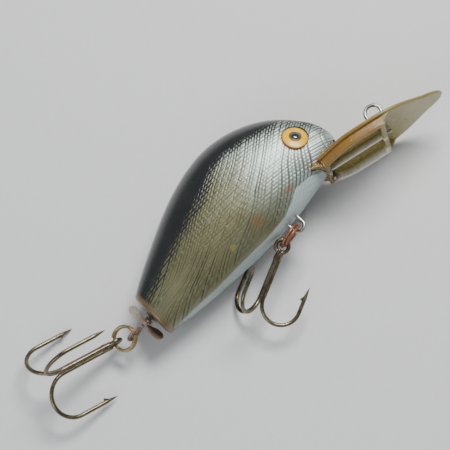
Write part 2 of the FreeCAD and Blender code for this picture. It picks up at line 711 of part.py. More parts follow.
def main():
    """Build every part, lay the lure on the ground and write the parts."""
    nodes = {}
    fixed_parts(nodes)
    nodes["rattle_ball"] = Part.makeSphere(RATTLE_BALL_R, RATTLE_AT)
    nodes["propeller"] = propeller()
    nodes["shaft_bead"] = shaft_bead()
    hang(nodes, "belly", BELLY_HOOK, BELLY_RING_R, HANGER_AT, BELLY_RING_BACK,
         BELLY_RING_AXIS, BELLY_SHANK)
    hang(nodes, "tail", TAIL_HOOK, TAIL_RING_R, Vec(TAIL_LOOP_X, SHAFT_Y, 0),
         TAIL_RING_BACK, TAIL_RING_AXIS, TAIL_SHANK)
    settle(nodes)
    for name, shape in nodes.items():
        shape.exportStep("parts/" + name + ".step")


main()
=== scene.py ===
import math

import bmesh
import bpy
import numpy as np
from mathutils import Matrix, Vector

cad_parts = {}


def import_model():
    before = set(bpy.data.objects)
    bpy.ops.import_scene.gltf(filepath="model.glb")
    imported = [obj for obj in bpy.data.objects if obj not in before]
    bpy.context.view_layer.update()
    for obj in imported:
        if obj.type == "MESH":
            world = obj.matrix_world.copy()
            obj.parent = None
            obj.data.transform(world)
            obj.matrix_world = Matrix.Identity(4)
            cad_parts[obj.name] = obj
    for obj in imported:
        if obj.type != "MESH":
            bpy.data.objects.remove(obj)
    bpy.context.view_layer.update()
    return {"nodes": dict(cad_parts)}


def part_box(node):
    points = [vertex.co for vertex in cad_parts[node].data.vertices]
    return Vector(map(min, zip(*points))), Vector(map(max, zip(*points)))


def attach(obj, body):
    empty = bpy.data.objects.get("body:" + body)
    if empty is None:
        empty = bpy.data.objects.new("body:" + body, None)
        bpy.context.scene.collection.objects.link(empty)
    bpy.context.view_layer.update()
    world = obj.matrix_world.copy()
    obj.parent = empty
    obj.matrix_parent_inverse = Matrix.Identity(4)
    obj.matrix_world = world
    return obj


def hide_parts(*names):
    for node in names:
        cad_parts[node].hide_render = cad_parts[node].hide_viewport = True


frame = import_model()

MM = 0.001

# ------------------------------------------------------------- lure frame
# Every piece is drawn in the lure's own frame, in millimetres: x from the tail
# end to the nose, y from the belly to the back, z from the left flank to the
# right one. world() lays it on the ground as the CAD part lies.

NOSE_UP_DEG = 4.0
BELLY_UP_DEG = 3.0
RATTLE_AT = np.array([30.0, 12.5, 0.0])
X = np.array([1.0, 0.0, 0.0])
Y = np.array([0.0, 1.0, 0.0])
Z = np.array([0.0, 0.0, 1.0])


def turn(axis, degrees):
    """3 x 3 rotation about an axis."""
    return np.array(Matrix.Rotation(math.radians(degrees), 3, Vector(axis)))


TILT = turn(X, -BELLY_UP_DEG) @ turn(Y, -NOSE_UP_DEG)
BALL_LOW, BALL_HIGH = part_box("rattle_ball")
SHIFT = np.array((BALL_LOW + BALL_HIGH) / 2) / MM - TILT @ RATTLE_AT


def world(points):
    """Lure-frame millimetres to row-frame metres."""
    return (np.asarray(points, float) @ TILT.T + SHIFT) * MM


def unit(vector):
    vector = np.asarray(vector, float)
    return vector / np.linalg.norm(vector)


class Place:
    """A position and three local directions in the lure frame."""

    def __init__(self, origin, x, y, z):
        self.origin = np.asarray(origin, float)
        self.turn = np.array([x, y, z], float).T

    def out(self, points):
        """This place's own coordinates as lure-frame points."""
        return np.asarray(points, float) @ self.turn.T + self.origin

    def direction(self, vector):
        return self.turn @ np.asarray(vector, float)

    def inward(self, vector):
        """A lure-frame direction in this place's own coordinates."""
        return self.turn.T @ np.asarray(vector, float)

    def inside(self, points):
        """Lure-frame points in this place's own coordinates."""
        return (points - self.origin) @ self.turn


def place_along(origin, x_dir, z_hint):
    """Place with the given origin and local x, and local z near the hint."""
    x = unit(x_dir)
    y = unit(np.cross(z_hint, x))
    return Place(origin, x, y, np.cross(x, y))


def place_facing(origin, z_dir, x_hint):
    """Place with the given origin and local z, and local x near the hint."""
    z = unit(z_dir)
    y = unit(np.cross(z, x_hint))
    return Place(origin, np.cross(y, z), y, z)


# ------------------------------------------------------------ maths helpers

def spline(knots, values, at):
    """Smooth curve through values at knots, read at other places."""
    t = np.asarray(knots, float)
    v = np.asarray(values, float).reshape(len(t), -1)
    n = len(t)
    h = np.diff(t)
    rows = np.zeros((n, n))
    right = np.zeros((n, v.shape[1]))
    rows[0, 0] = rows[-1, -1] = 1.0
    for i in range(1, n - 1):
        rows[i, i - 1] = h[i - 1]
        rows[i, i] = 2 * (h[i - 1] + h[i])
        rows[i, i + 1] = h[i]
        right[i] = 6 * ((v[i + 1] - v[i]) / h[i] - (v[i] - v[i - 1]) / h[i - 1])
    bend = np.linalg.solve(rows, right)
    at = np.asarray(at, float)
    k = np.clip(np.searchsorted(t, at.ravel()) - 1, 0, n - 2)
    a = ((t[k + 1] - at.ravel()) / h[k])[:, None]
    b = 1 - a
    curve = a * v[k] + b * v[k + 1]
    curve += ((a ** 3 - a) * bend[k] + (b ** 3 - b) * bend[k + 1]) * (h[k] ** 2)[:, None] / 6
    return curve.reshape(at.shape + (-1,)) if v.shape[1] > 1 else curve.reshape(at.shape)


def smooth_path(points, step):
    """Evenly spaced points on a smooth curve through the given ones."""
    points = np.asarray(points, float)
    lengths = np.linalg.norm(np.diff(points, axis=0), axis=1)
    knots = np.r_[0, np.cumsum(lengths)]
    count = max(8, int(knots[-1] / step))
    return spline(knots, points, np.linspace(0, knots[-1], count))


def smoothstep(low, high, value):
    t = np.clip((value - low) / (high - low), 0, 1)
    return t * t * (3 - 2 * t)


def noise_map(seed, cell):
    """Smooth random field from -1 to 1 with lumps of the given size in mm."""
    table = np.random.default_rng(seed).uniform(-1, 1, (64, 64))

    def value(x, y):
        u = np.asarray(x, float) / cell + 16.3
        v = np.asarray(y, float) / cell + 16.7
        i = np.floor(u).astype(int)
        j = np.floor(v).astype(int)
        s = smoothstep(0, 1, u - i)
        t = smoothstep(0, 1, v - j)
        corner = [[table[(i + a) % 64, (j + b) % 64] for b in (0, 1)] for a in (0, 1)]
        low = corner[0][0] * (1 - t) + corner[0][1] * t
        high = corner[1][0] * (1 - t) + corner[1][1] * t
        return low * (1 - s) + high * s

    return value


# ------------------------------------------------------------- mesh helpers

END_REACH = 0.6
BAR_BEVEL = 0.22


def grid_faces(rows, columns, close_rows=False, close_columns=False):
    """Quads over a grid of points numbered row by row."""
    r = np.arange(rows if close_rows else rows - 1)
    c = np.arange(columns if close_columns else columns - 1)
    i, j = np.meshgrid(r, c, indexing="ij")
    i2 = (i + 1) % rows
    j2 = (j + 1) % columns
    quads = np.stack([i * columns + j, i2 * columns + j, i2 * columns + j2, i * columns + j2], -1)
    return quads.reshape(-1, 4)


def loft_faces(rings, count):
    """Faces of a solid through rings of count points each, closed at both ends."""
    faces = [list(f) for f in grid_faces(rings, count, close_columns=True)]
    faces.append(list(range(count))[::-1])
    faces.append([(rings - 1) * count + k for k in range(count)])
    return faces


def directions(path):
    """Unit tangents along a path."""
    along = np.gradient(path, axis=0)
    return along / np.linalg.norm(along, axis=1)[:, None]


def join(*shells):
    """Several (points, faces) as one."""
    points, faces, base = [], [], 0
    for shell_points, shell_faces in shells:
        points.append(np.asarray(shell_points, float))
        faces.extend([[int(k) + base for k in face] for face in shell_faces])
        base += len(shell_points)
    return np.concatenate(points), faces


def tube(path, radius, sides=20):
    """Round wire along a path; radius may be one number or one per point."""
    path = np.asarray(path, float)
    radii = np.broadcast_to(np.asarray(radius, float), (len(path),)).copy()
    path, radii = rounded_ends(path, radii)
    along = directions(path)
    side = unit(np.cross(along[0], [0.31, 0.52, 0.79]))
    rings = []
    angles = np.linspace(0, 2 * math.pi, sides, endpoint=False)
    for point, direction, r in zip(path, along, radii):
        side = unit(side - direction * (side @ direction))
        other = np.cross(direction, side)
        ring = np.outer(np.cos(angles), side) + np.outer(np.sin(angles), other)
        rings.append(point + ring * r)
    return np.concatenate(rings), loft_faces(len(rings), sides)


def rounded_ends(path, radii):
    """Add short shrinking steps to both ends of a wire so that it ends round."""
    start_dir = unit(path[0] - path[1])
    end_dir = unit(path[-1] - path[-2])
    steps = np.radians([80, 60, 40, 20])
    head = [path[0] + start_dir * radii[0] * END_REACH * math.sin(a) for a in steps]
    tail = [path[-1] + end_dir * radii[-1] * END_REACH * math.sin(a) for a in steps[::-1]]
    head_r = [radii[0] * math.cos(a) for a in steps]
    tail_r = [radii[-1] * math.cos(a) for a in steps[::-1]]
    return np.concatenate([head, path, tail]), np.concatenate([head_r, radii, tail_r])


def turned(profile, seat, sides):
    """Points of a (radius, height) profile turned about the local z of a place."""
    angles = np.linspace(0, 2 * math.pi, sides, endpoint=False)
    rings = [np.stack([r * np.cos(angles), r * np.sin(angles), np.full(sides, h)], 1)
             for r, h in profile]
    return seat.out(np.concatenate(rings))


def lathe(profile, seat, sides):
    """Turned solid, closed at both ends of its profile."""
    return turned(profile, seat, sides), loft_faces(len(profile), sides)


def ring_lathe(profile, seat, sides):
    """Turned ring: the profile is a closed loop that stays off the axis."""
    faces = grid_faces(len(profile), sides, close_rows=True, close_columns=True)
    return turned(profile, seat, sides), faces


def rounded_bar(path, width, low, high):
    """Bar with rounded edges along a flat path of (x, y), from low to high in z."""
    along = directions(path)
    across = np.stack([-along[:, 1], along[:, 0]], 1)
    lows = np.broadcast_to(np.asarray(low, float), (len(path),))
    corners = []
    for sy, sz, start in ((1, 1, 0), (-1, 1, 90), (-1, -1, 180), (1, -1, 270)):
        for a in np.radians(np.arange(start, start + 91, 30)):
            corners.append((sy, sz, math.cos(a), math.sin(a)))
    rings = []
    for point, side, foot in zip(path, across, lows):
        r = min(BAR_BEVEL, (high - foot) / 2.2)
        for sy, sz, c, s in corners:
            y = sy * (width / 2 - r) + r * c
            z = (high - r if sz > 0 else foot + r) + r * s
            rings.append([*(point + side * y), z])
    return np.array(rings), loft_faces(len(path), len(corners))


def add_object(name, data):
    """New object in the scene."""
    thing = bpy.data.objects.new(name, data)
    bpy.context.scene.collection.objects.link(thing)
    return thing


def make_mesh(name, shell):
    """Mesh from points in lure-frame millimetres and its faces."""
    points, faces = shell
    mesh = bpy.data.meshes.new(name)
    mesh.from_pydata(world(points).tolist(), [], [list(map(int, f)) for f in faces])
    return mesh


def make_piece(name, shell, material, body, node, smooth_deg):
    """Mesh object in place of a CAD node, riding on its body."""
    mesh = make_mesh(name, shell)
    mesh.validate()
    piece = add_object(name, mesh)
    mesh.materials.append(material)
    fix_normals(mesh)
    mesh.shade_smooth()
    if smooth_deg:
        mark_sharp(mesh, smooth_deg)
    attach(piece, body)
    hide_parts(node)
    return piece


def fix_normals(mesh):
    """Point every face outwards."""
    work = bmesh.new()
    work.from_mesh(mesh)
    bmesh.ops.recalc_face_normals(work, faces=work.faces)
    work.to_mesh(mesh)
    work.free()


def mark_sharp(mesh, degrees):
    """Keep edges steeper than this angle crisp."""
    mesh.set_sharp_from_angle(angle=math.radians(degrees))


# ---------------------------------------------------------------- materials

class Shader:
    """Short spelling for building a node material."""

    def __init__(self, name):
        self.material = bpy.data.materials.new(name)
        self.material.use_nodes = True
        self.tree = self.material.node_tree
        self.tree.nodes.clear()
        output = self.tree.nodes.new("ShaderNodeOutputMaterial")
        self.surface = self.tree.nodes.new("ShaderNodeBsdfPrincipled")
        self.link(self.surface.outputs[0], output.inputs[0])
        metres = self.node("TexCoord", {}, "Object")
        self.mm = self.node("VectorMath", {0: metres, "Scale": 1 / MM}, operation="SCALE")

    def node(self, kind, inputs, output=0, **options):
        """Add a node with these options and inputs, and give one of its outputs."""
        node = self.tree.nodes.new("ShaderNode" + kind)
        for key, value in options.items():
            setattr(node, key, value)
        for key, value in inputs.items():
            self.link(value, node.inputs[key])
        return node.outputs[output]

    def link(self, source, target):
        """Feed a socket from another one, or set it to a constant."""
        if hasattr(source, "is_output"):
            self.tree.links.new(source, target)
        else:
            target.default_value = source

    def set(self, **values):
        for key, value in values.items():
            self.link(value, self.surface.inputs[key.replace("_", " ")])

    def coat(self, weight, roughness):
        self.set(Coat_Weight=weight, Coat_Roughness=roughness)

    def noise(self, scale, detail, roughness, distortion=0.0, vector=None):
        inputs = {"Vector": vector or self.mm, "Scale": scale, "Detail": detail,
                  "Roughness": roughness, "Distortion": distortion}
        return self.node("TexNoise", inputs, "Fac")

    def stretched(self, factors):
        """The millimetre coordinates scaled differently along each axis."""
        return self.node("VectorMath", {0: self.mm, 1: factors}, operation="MULTIPLY")

    def attribute(self, name):
        return self.node("Attribute", {}, "Fac", attribute_name=name)

    def math(self, operation, a, b=0.0, clamp=False):
        return self.node("Math", {0: a, 1: b}, operation=operation, use_clamp=clamp)

    def times(self, a, b, clamp=False):
        return self.math("MULTIPLY", a, b, clamp)

    def plus(self, a, b):
        return self.math("ADD", a, b)

    def minus(self, a, b):
        return self.math("SUBTRACT", a, b)

    def remap(self, value, low, high, out_low=0.0, out_high=1.0):
        """Smooth step from out_low to out_high as the value goes from low to high."""
        inputs = {"Value": value, "From Min": low, "From Max": high,
                  "To Min": out_low, "To Max": out_high}
        return self.node("MapRange", inputs, interpolation_type="SMOOTHSTEP")

    def mix(self, factor, a, b):
        """Colour from a to b; a plain number stands for a grey."""
        inputs = {"Factor": factor, 6: rgba(a), 7: rgba(b)}
        return self.node("Mix", inputs, 2, data_type="RGBA", clamp_factor=True)

    def bump(self, height, distance):
        """Bump of the given height in millimetres."""
        inputs = {"Strength": 1.0, "Distance": distance * MM, "Height": height}
        normal = self.node("Bump", inputs)
        self.link(normal, self.surface.inputs["Normal"])


def rgba(colour):
    """A colour or a grey with full alpha, or a socket as it is."""
    if hasattr(colour, "is_output"):
        return colour
    return (colour, colour, colour, 1.0) if isinstance(colour, float) else (*colour, 1.0)


def groove_profile(s, line_coordinate, width):
    """1 at the middle of each line, falling to 0 at width line pitches away."""
    away = s.math("ABSOLUTE", s.minus(s.math("FRACT", line_coordinate), 0.5))
    return s.remap(away, width, 0.03)


def shell_paint():
    """Silver flank with engraved lines, black back, pale belly and age stains; painted highlight
    towards the head, painted shade at the tail end.
    """
    s = Shader("silver_black_shell_paint")
    lines = s.node("UVMap", {}, uv_map="lines")
    row, slant = (s.node("SeparateXYZ", {0: lines}, k) for k in (0, 1))
    rows = s.times(groove_profile(s, row, 0.34), s.attribute("row_cut"))
    slants = s.times(groove_profile(s, slant, 0.36), s.attribute("slant_cut"))
    groove = s.math("MAXIMUM", rows, slants, clamp=True)
    fine = s.noise(2.4, 5.0, 0.65)
    coarse = s.noise(0.22, 3.0, 0.5)
    grain = s.noise(9.0, 2.0, 0.6)

    # Brighter flank towards the head: partly paint that yellowed less, partly a painted
    # highlight.
    silver_and_highlight = s.attribute("silver_and_highlight")
    aged = s.mix(coarse, (0.105, 0.104, 0.048), (0.195, 0.190, 0.092))
    bright = s.mix(fine, (0.215, 0.285, 0.250), (0.47, 0.56, 0.52))
    crest = s.mix(silver_and_highlight, aged, bright)
    crossing = s.times(rows, slants)
    dots = s.times(s.remap(crossing, 0.12, 0.55), s.remap(silver_and_highlight, 0.9, 0.2))
    fleck = s.times(s.remap(grain, 0.50, 0.70), 0.55)
    flecked = s.mix(fleck, crest, s.mix(silver_and_highlight, (0.42, 0.39, 0.27), (0.72, 0.75, 0.72)))
    cut = s.mix(silver_and_highlight, (0.030, 0.027, 0.016), (0.070, 0.080, 0.078))
    flank = s.mix(s.times(groove, 0.90), flecked, cut)
    flank = s.mix(s.times(dots, s.remap(fine, 0.35, 0.6)), flank, (0.60, 0.57, 0.42))

    back = s.attribute("back_depth")
    reach = s.plus(back, s.times(groove, 2.6))
    reach = s.plus(reach, s.times(s.minus(fine, 0.5), 2.2))
    black = s.remap(reach, -0.25, 0.95)
    brown_zone = s.remap(s.math("ABSOLUTE", s.plus(back, 0.35)), 1.5, 0.1)
    brown_zone = s.times(brown_zone, s.attribute("brown"))
    brown_zone = s.times(brown_zone, s.remap(fine, 0.36, 0.62))
    flank = s.mix(s.times(brown_zone, 0.85), flank, (0.062, 0.036, 0.022))
    black_coat = s.mix(coarse, (0.006, 0.007, 0.007), (0.016, 0.018, 0.018))
    painted = s.mix(black, flank, black_coat)

    pale = s.mix(fine, (0.31, 0.375, 0.375), (0.40, 0.465, 0.46))
    pale = s.mix(s.remap(grain, 0.60, 0.75, 0.0, 0.35), pale, (0.16, 0.17, 0.16))
    strip = s.remap(s.plus(s.attribute("belly_depth"),
                           s.times(s.minus(fine, 0.5), 0.25)), -0.12, 0.12)
    painted = s.mix(strip, painted, pale)

    rust = s.times(s.attribute("rust"), s.remap(fine, 0.36, 0.60), clamp=True)
    painted = s.mix(s.times(rust, 0.85), painted, (0.30, 0.115, 0.030))
    moss = s.times(s.attribute("moss"), s.remap(fine, 0.36, 0.56), clamp=True)
    painted = s.mix(s.times(moss, 0.85), painted, (0.36, 0.33, 0.04))
    # Brownish darkening at the tail end: painted shade of the narrow gap before the washer and
    # propeller.
    rim = s.times(s.attribute("tail_end_shade"), s.remap(fine, 0.25, 0.6, 0.55, 1.0))
    painted = s.mix(rim, painted, (0.17, 0.105, 0.055))

    metal = s.mix(s.math("MAXIMUM", black, strip), 0.55, 0.0)
    rough = s.mix(black, 0.38, 0.22)
    rough = s.mix(s.remap(fine, 0.4, 0.8, 0.0, 0.5), rough, 0.55)
    s.set(Base_Color=painted, Metallic=metal, Roughness=rough)
    s.coat(0.35, 0.22)
    scratch = s.noise(1.0, 3.0, 0.7, vector=s.stretched((0.5, 7.0, 7.0)))
    height = s.plus(s.times(scratch, 0.5), s.times(grain, 0.25))
    height = s.minus(height, s.times(groove, 1.2))
    s.bump(height, 0.035)
    return s.material


def amber_plastic():
    """Clear lip plastic, yellowed, with brown stain and painted shade by one rail, a painted pale
    reflection and painted light.
    """
    s = Shader("amber_clear_plastic")
    fine = s.noise(1.6, 5.0, 0.6)
    coarse = s.noise(0.16, 3.0, 0.5, 0.6)
    tint = s.mix(coarse, (0.25, 0.185, 0.045), (0.37, 0.295, 0.095))
    # Lighter amber where painted light falls: beyond the cross rib, under it, and towards the far
    # rail.
    lit = s.times(s.attribute("lit"), s.remap(fine, 0.25, 0.6, 0.6, 1.0))
    tint = s.mix(lit, tint, (0.47, 0.39, 0.115))
    # Brown: real stain at the root and one spot, plus painted shade along the near rail.
    stain_and_shade = s.attribute("stain_and_shade")
    stain_and_shade = s.times(stain_and_shade, s.remap(fine, 0.3, 0.62, 0.35, 1.0), clamp=True)
    tint = s.mix(stain_and_shade, tint, (0.34, 0.145, 0.022))
    # Near-white pale places: a painted reflection on the inner face of the far rail and under the
    # centre rib.
    pale = s.times(s.attribute("pale"), s.remap(fine, 0.2, 0.6, 0.6, 1.0), clamp=True)
    tint = s.mix(pale, tint, (0.96, 0.94, 0.84))
    rough = s.remap(s.noise(0.9, 5.0, 0.7), 0.35, 0.8, 0.10, 0.34)
    clear = s.mix(s.math("MAXIMUM", s.times(stain_and_shade, 0.5), s.times(pale, 0.9)),
                  0.50, 0.0)
    s.set(Base_Color=tint, Roughness=rough, Transmission_Weight=clear, IOR=1.47)
    scratch = s.noise(1.0, 4.0, 0.75, vector=s.stretched((1.0, 5.0, 5.0)))
    s.bump(s.plus(scratch, s.times(fine, 0.6)), 0.05)
    return s.material


def metal(name, base, worn, spots, spot_share, rough, pit):
    """Plated or bronzed metal with worn places and coloured spots."""
    s = Shader(name)
    coarse = s.noise(0.7, 4.0, 0.6)
    fine = s.noise(5.0, 5.0, 0.7)
    colour = s.mix(s.remap(coarse, 0.35, 0.65), base, worn)
    rusted = s.remap(s.plus(s.times(fine, 0.6), s.times(coarse, 0.4)),
                     0.66 - 0.3 * spot_share, 0.74 - 0.3 * spot_share)
    colour = s.mix(s.times(rusted, 0.9), colour, spots)
    shine = s.mix(rusted, 1.0, 0.35)
    roughness = s.remap(fine, 0.3, 0.75, rough[0], rough[1])
    roughness = s.mix(rusted, roughness, 0.7)
    s.set(Base_Color=colour, Metallic=shine, Roughness=roughness)
    draw = s.noise(1.5, 3.0, 0.6, vector=s.stretched((3.0, 3.0, 3.0)))
    s.bump(s.plus(fine, draw), pit)
    return s.material


def eye_enamel():
    """Yellow-orange eye with fine rays, a darker ring and an orange rim."""
    s = Shader("eye_yellow_enamel")
    radius = s.attribute("eye_radius")
    rays = s.attribute("eye_rays")
    fine = s.noise(3.0, 4.0, 0.6)
    yellow = s.mix(s.times(rays, fine), (0.76, 0.40, 0.008), (0.90, 0.62, 0.040))
    rim = s.remap(s.plus(radius, s.times(fine, 0.06)), 0.90, 1.03)
    colour = s.mix(rim, yellow, (0.36, 0.13, 0.012))
    ring = s.remap(s.math("ABSOLUTE", s.minus(radius, 0.40)), 0.13, 0.04)
    colour = s.mix(s.times(ring, 0.92), colour, (0.050, 0.026, 0.010))
    s.set(Base_Color=colour, Roughness=s.remap(fine, 0.3, 0.8, 0.26, 0.46))
    s.coat(0.08, 0.15)
    s.bump(fine, 0.02)
    return s.material


def pupil_gloss():
    """Glossy blue-black pupil."""
    s = Shader("pupil_black_gloss")
    fine = s.noise(4.0, 4.0, 0.6)
    s.set(Base_Color=s.mix(fine, (0.006, 0.008, 0.014), (0.030, 0.045, 0.070)),
          Roughness=s.remap(fine, 0.3, 0.8, 0.08, 0.24))
    s.coat(1.0, 0.05)
    return s.material


def prop_metal():
    """Propeller sheet: off-white paint, the lower blade darkened with painted shade, brown rust
    at the hub.
    """
    s = Shader("prop_worn_sheet")
    fine = s.noise(3.2, 5.0, 0.65)
    coarse = s.noise(0.8, 3.0, 0.5)
    span = s.attribute("span")
    paint = s.mix(coarse, (0.36, 0.31, 0.21), (0.70, 0.67, 0.58))
    # The lower blade faces away from the light: its darker tone is painted shade.
    shaded_blade_tone = s.mix(fine, (0.10, 0.060, 0.040), (0.26, 0.165, 0.120))
    low = s.remap(span, 0.05, -0.55)
    colour = s.mix(s.times(low, 0.85), paint, shaded_blade_tone)
    near_hub = s.remap(s.math("ABSOLUTE", span), 0.62, 0.12)
    rust = s.times(near_hub, s.remap(fine, 0.30, 0.62), clamp=True)
    colour = s.mix(s.times(rust, 0.85), colour, (0.25, 0.095, 0.055))
    s.set(Base_Color=colour, Metallic=s.mix(rust, 0.55, 0.1),
          Roughness=s.remap(fine, 0.3, 0.8, 0.25, 0.6))
    s.bump(fine, 0.04)
    return s.material


def floor_finish():
    """Pale matt studio floor with a faint tooth."""
    s = Shader("pale_floor")
    tooth = s.noise(0.8, 3.0, 0.6)
    s.set(Base_Color=s.mix(tooth, (0.60, 0.605, 0.61), (0.66, 0.665, 0.67)), Roughness=0.85)
    return s.material


# ---------------------------------------------------------------- the shell

BODY_SECTIONS = np.array([
    (0.0, 0.0, 10.4, 4.4), (5.0, -0.6, 13.2, 5.4), (11.0, -1.2, 16.2, 6.5),
    (18.0, -1.7, 19.4, 7.3), (25.0, -2.0, 21.6, 7.7), (32.0, -1.9, 22.4, 7.6),
    (38.0, -1.4, 21.4, 7.1), (43.0, -0.6, 19.2, 6.4), (47.0, 0.2, 16.2, 5.5),
    (50.0, 1.4, 12.7, 4.4), (52.0, 2.9, 9.4, 3.0), (52.9, 4.3, 7.2, 1.6)])
SECTION_POWER = 2.25
BODY_END = 52.9
TAIL_ROUND = 0.55
NOSE_ROUND = 1.0
SKIN_INSET = 0.03
STATIONS = 372
SWEEP_STEPS = 196
SEAM_GAP = 0.01
SEAM_SINK = 0.06
SEAM_WIDTH = 0.16
UNEVEN_SKIN = 0.015
SNAP_REACH = 0.2

ROW_PITCH = 0.66
SLANT_PITCH = 0.56
SLANT_DEG = 30.0
CUT_DEPTH = 0.085

BACK_EDGE = [(-1, 6.4), (4, 7.7), (9.7, 9.4), (16, 11.2), (21, 12.7), (27, 14.5),
             (30, 16.0), (33, 16.7), (36.5, 16.1), (42, 15.0), (46.9, 13.7), (49, 12.2),
             (50.4, 9.9), (52.2, 7.6), (54, 5.5)]
BELLY_EDGE = [(-1, 0.15), (1.1, -0.15), (13.3, -1.05), (27.6, -1.35), (33.5, -0.95),
              (36.6, 0.1), (39.0, 1.3), (42.9, 1.2), (45.4, 0.4), (54, -3.0)]

EYE_AT = np.array([46.6, 8.9])
EYE_FLOOR = 5.45
EYE_FACING = (0.42, 0.12, 0.9)
EYE_R = 2.75
EYE_POCKET_R = EYE_R + 0.05
EYE_DEPTH = 0.9
EYE_DOME = 0.55
PUPIL_R = 0.9

MOUTH_CORNER = np.array([43.7, 1.7])
MOUTH_TOP_SLOPE = 3.1 / 12.3
MOUTH_FRONT = 52.0
JAW = [(43.7, 1.7), (45.3, 1.0), (46.2, 0.1), (46.2, -5.0)]


def section_at(x):
    """Belly height, back height and half thickness of the body at x."""
    inside = np.clip(x, 0, BODY_END)
    values = spline(BODY_SECTIONS[:, 0], BODY_SECTIONS[:, 1:], inside)
    inset = np.full(np.shape(x), SKIN_INSET)
    back = np.clip(TAIL_ROUND - inside, 0, TAIL_ROUND)
    inset += TAIL_ROUND - np.sqrt(TAIL_ROUND ** 2 - back ** 2)
    front = np.clip(inside - (BODY_END - NOSE_ROUND), 0, NOSE_ROUND)
    inset += NOSE_ROUND - np.sqrt(NOSE_ROUND ** 2 - front ** 2)
    return values[..., 0] + inset, values[..., 1] - inset, values[..., 2] - inset


def flank_z(x, y):
    """Height of the right flank over the middle plane at x, y."""
    low, high, half = section_at(x)
    share = np.abs(y - (low + high) / 2) / ((high - low) / 2)
    share = np.clip(share, 0, 1)
    return half * (1 - share ** SECTION_POWER) ** (1 / SECTION_POWER)


def line_coordinates(x, y):
    """The engraved lines: whole numbers and a half fall on lines of each family."""
    drift = noise_map(11, 9.0)(x, y)
    ripple = noise_map(12, 3.2)(x, y)
    droop = 0.0046 * np.clip(x - 30, 0, None) ** 2
    lift = 0.06 * np.clip(14 - x, 0, None)
    rows = (y + droop + lift + 0.42 * drift + 0.07 * ripple) / ROW_PITCH
    steep = SLANT_DEG - 7 * smoothstep(7, 1, y) + 5 * smoothstep(30, 46, x)
    angle = np.radians(steep)
    drift = noise_map(13, 8.0)(x, y)
    ripple = noise_map(14, 2.6)(x, y)
    slants = ((y - 6) * np.cos(angle) - (x - 24) * np.sin(angle)
              + 0.40 * drift + 0.06 * ripple) / SLANT_PITCH
    return rows, slants


def line_strengths(x, y, rows, slants):
    """How deep each family is cut at each place, from 0 to 1."""
    rng = np.random.default_rng(21)
    row_vigour = rng.uniform(0.30, 1.0, 97)[np.floor(rows).astype(int) % 97]
    slant_vigour = rng.uniform(0.0, 1.25, 97)[np.floor(slants).astype(int) % 97]
    patch = noise_map(22, 5.0)(x, y)
    patch2 = noise_map(23, 4.0)(x, y)
    edge = np.interp(x, *np.array(BACK_EDGE).T) - y
    near_back = smoothstep(4.0, 0.5, edge)
    near_belly = smoothstep(3.6, 0.8, y)
    front = smoothstep(24, 36, x)
    row_cut = row_vigour * (0.40 + 0.30 * patch + 0.15 * front + 0.45 * near_back)
    slant_cut = slant_vigour * (0.44 + 0.40 * patch2 + 0.65 * front + 0.70 * near_back
                                + 0.5 * near_belly)
    band = smoothstep(2.6, 0.4, np.abs((y - 12.0) - (x - 22.5) * 0.58))
    slant_cut += 0.55 * band * smoothstep(12, 16, x) * smoothstep(34, 28, x)
    fade = smoothstep(-2.2, -0.2, edge) * smoothstep(0.0, 0.9, y + 1.0)
    fade *= smoothstep(0.6, 1.6, x)
    return np.clip(row_cut, 0, 1) * fade, np.clip(slant_cut, 0, 1) * fade


def cut_profile(coordinate):
    away = np.abs(coordinate - np.floor(coordinate) - 0.5)
    return smoothstep(0.30, 0.03, away)


def spot(x, y, centre, size):
    """Soft round mark."""
    return smoothstep(1.0, 0.25, np.hypot((x - centre[0]) / size[0], (y - centre[1]) / size[1]))


def mouth_top(x):
    return MOUTH_CORNER[1] + (x - MOUTH_CORNER[0]) * MOUTH_TOP_SLOPE


def jaw_front(y):
    """How far forward the lower jaw reaches at this height."""
    jaw = np.array(JAW)[::-1]
    return np.interp(y, jaw[:, 1], jaw[:, 0])


def eye_place(side):
    """The eye's seat: its floor centre, and outward direction as local z."""
    forward, up, out = EYE_FACING
    return place_facing([*EYE_AT, side * EYE_FLOOR], [forward, up, side * out], X)


def open_mouth(points):
    """Which points lie in the mouth, and how far past its roof and its jaw."""
    x, y = points[:, 0], points[:, 1]
    under = mouth_top(x) - y
    ahead = x - jaw_front(y)
    return (under > 0) & (ahead > 0), under, ahead


def open_eye(points, side):
    """Which points lie in the eye pocket, how far inside its wall, and where."""
    seat = eye_place(side)
    local = seat.inside(points)
    distance = np.hypot(local[:, 0], local[:, 1])
    rim = EYE_POCKET_R - distance
    return (rim > 0) & (local[:, 2] > -3), rim, local


def shell_grid(side):
    """Points of half the body skin over stations and sweep angle."""
    x = np.linspace(0, BODY_END, STATIONS)
    x = np.r_[[0.0, 0.0], x, [BODY_END]]
    angle = np.linspace(0, math.pi, SWEEP_STEPS)
    low, high, half = section_at(x)
    shrink = np.ones(len(x))
    shrink[0], shrink[1], shrink[-1] = 0.12, 0.6, 0.02
    middle = (low + high) / 2
    tall = (high - low) / 2 * shrink
    wide = half * shrink
    power = 2 / SECTION_POWER
    c = np.sign(np.cos(angle)) * np.abs(np.cos(angle)) ** power
    s = np.abs(np.sin(angle)) ** power
    points = np.zeros((len(x), SWEEP_STEPS, 3))
    points[..., 0] = x[:, None]
    points[..., 1] = middle[:, None] + tall[:, None] * c
    points[..., 2] = side * (SEAM_GAP + wide[:, None] * s)
    return points


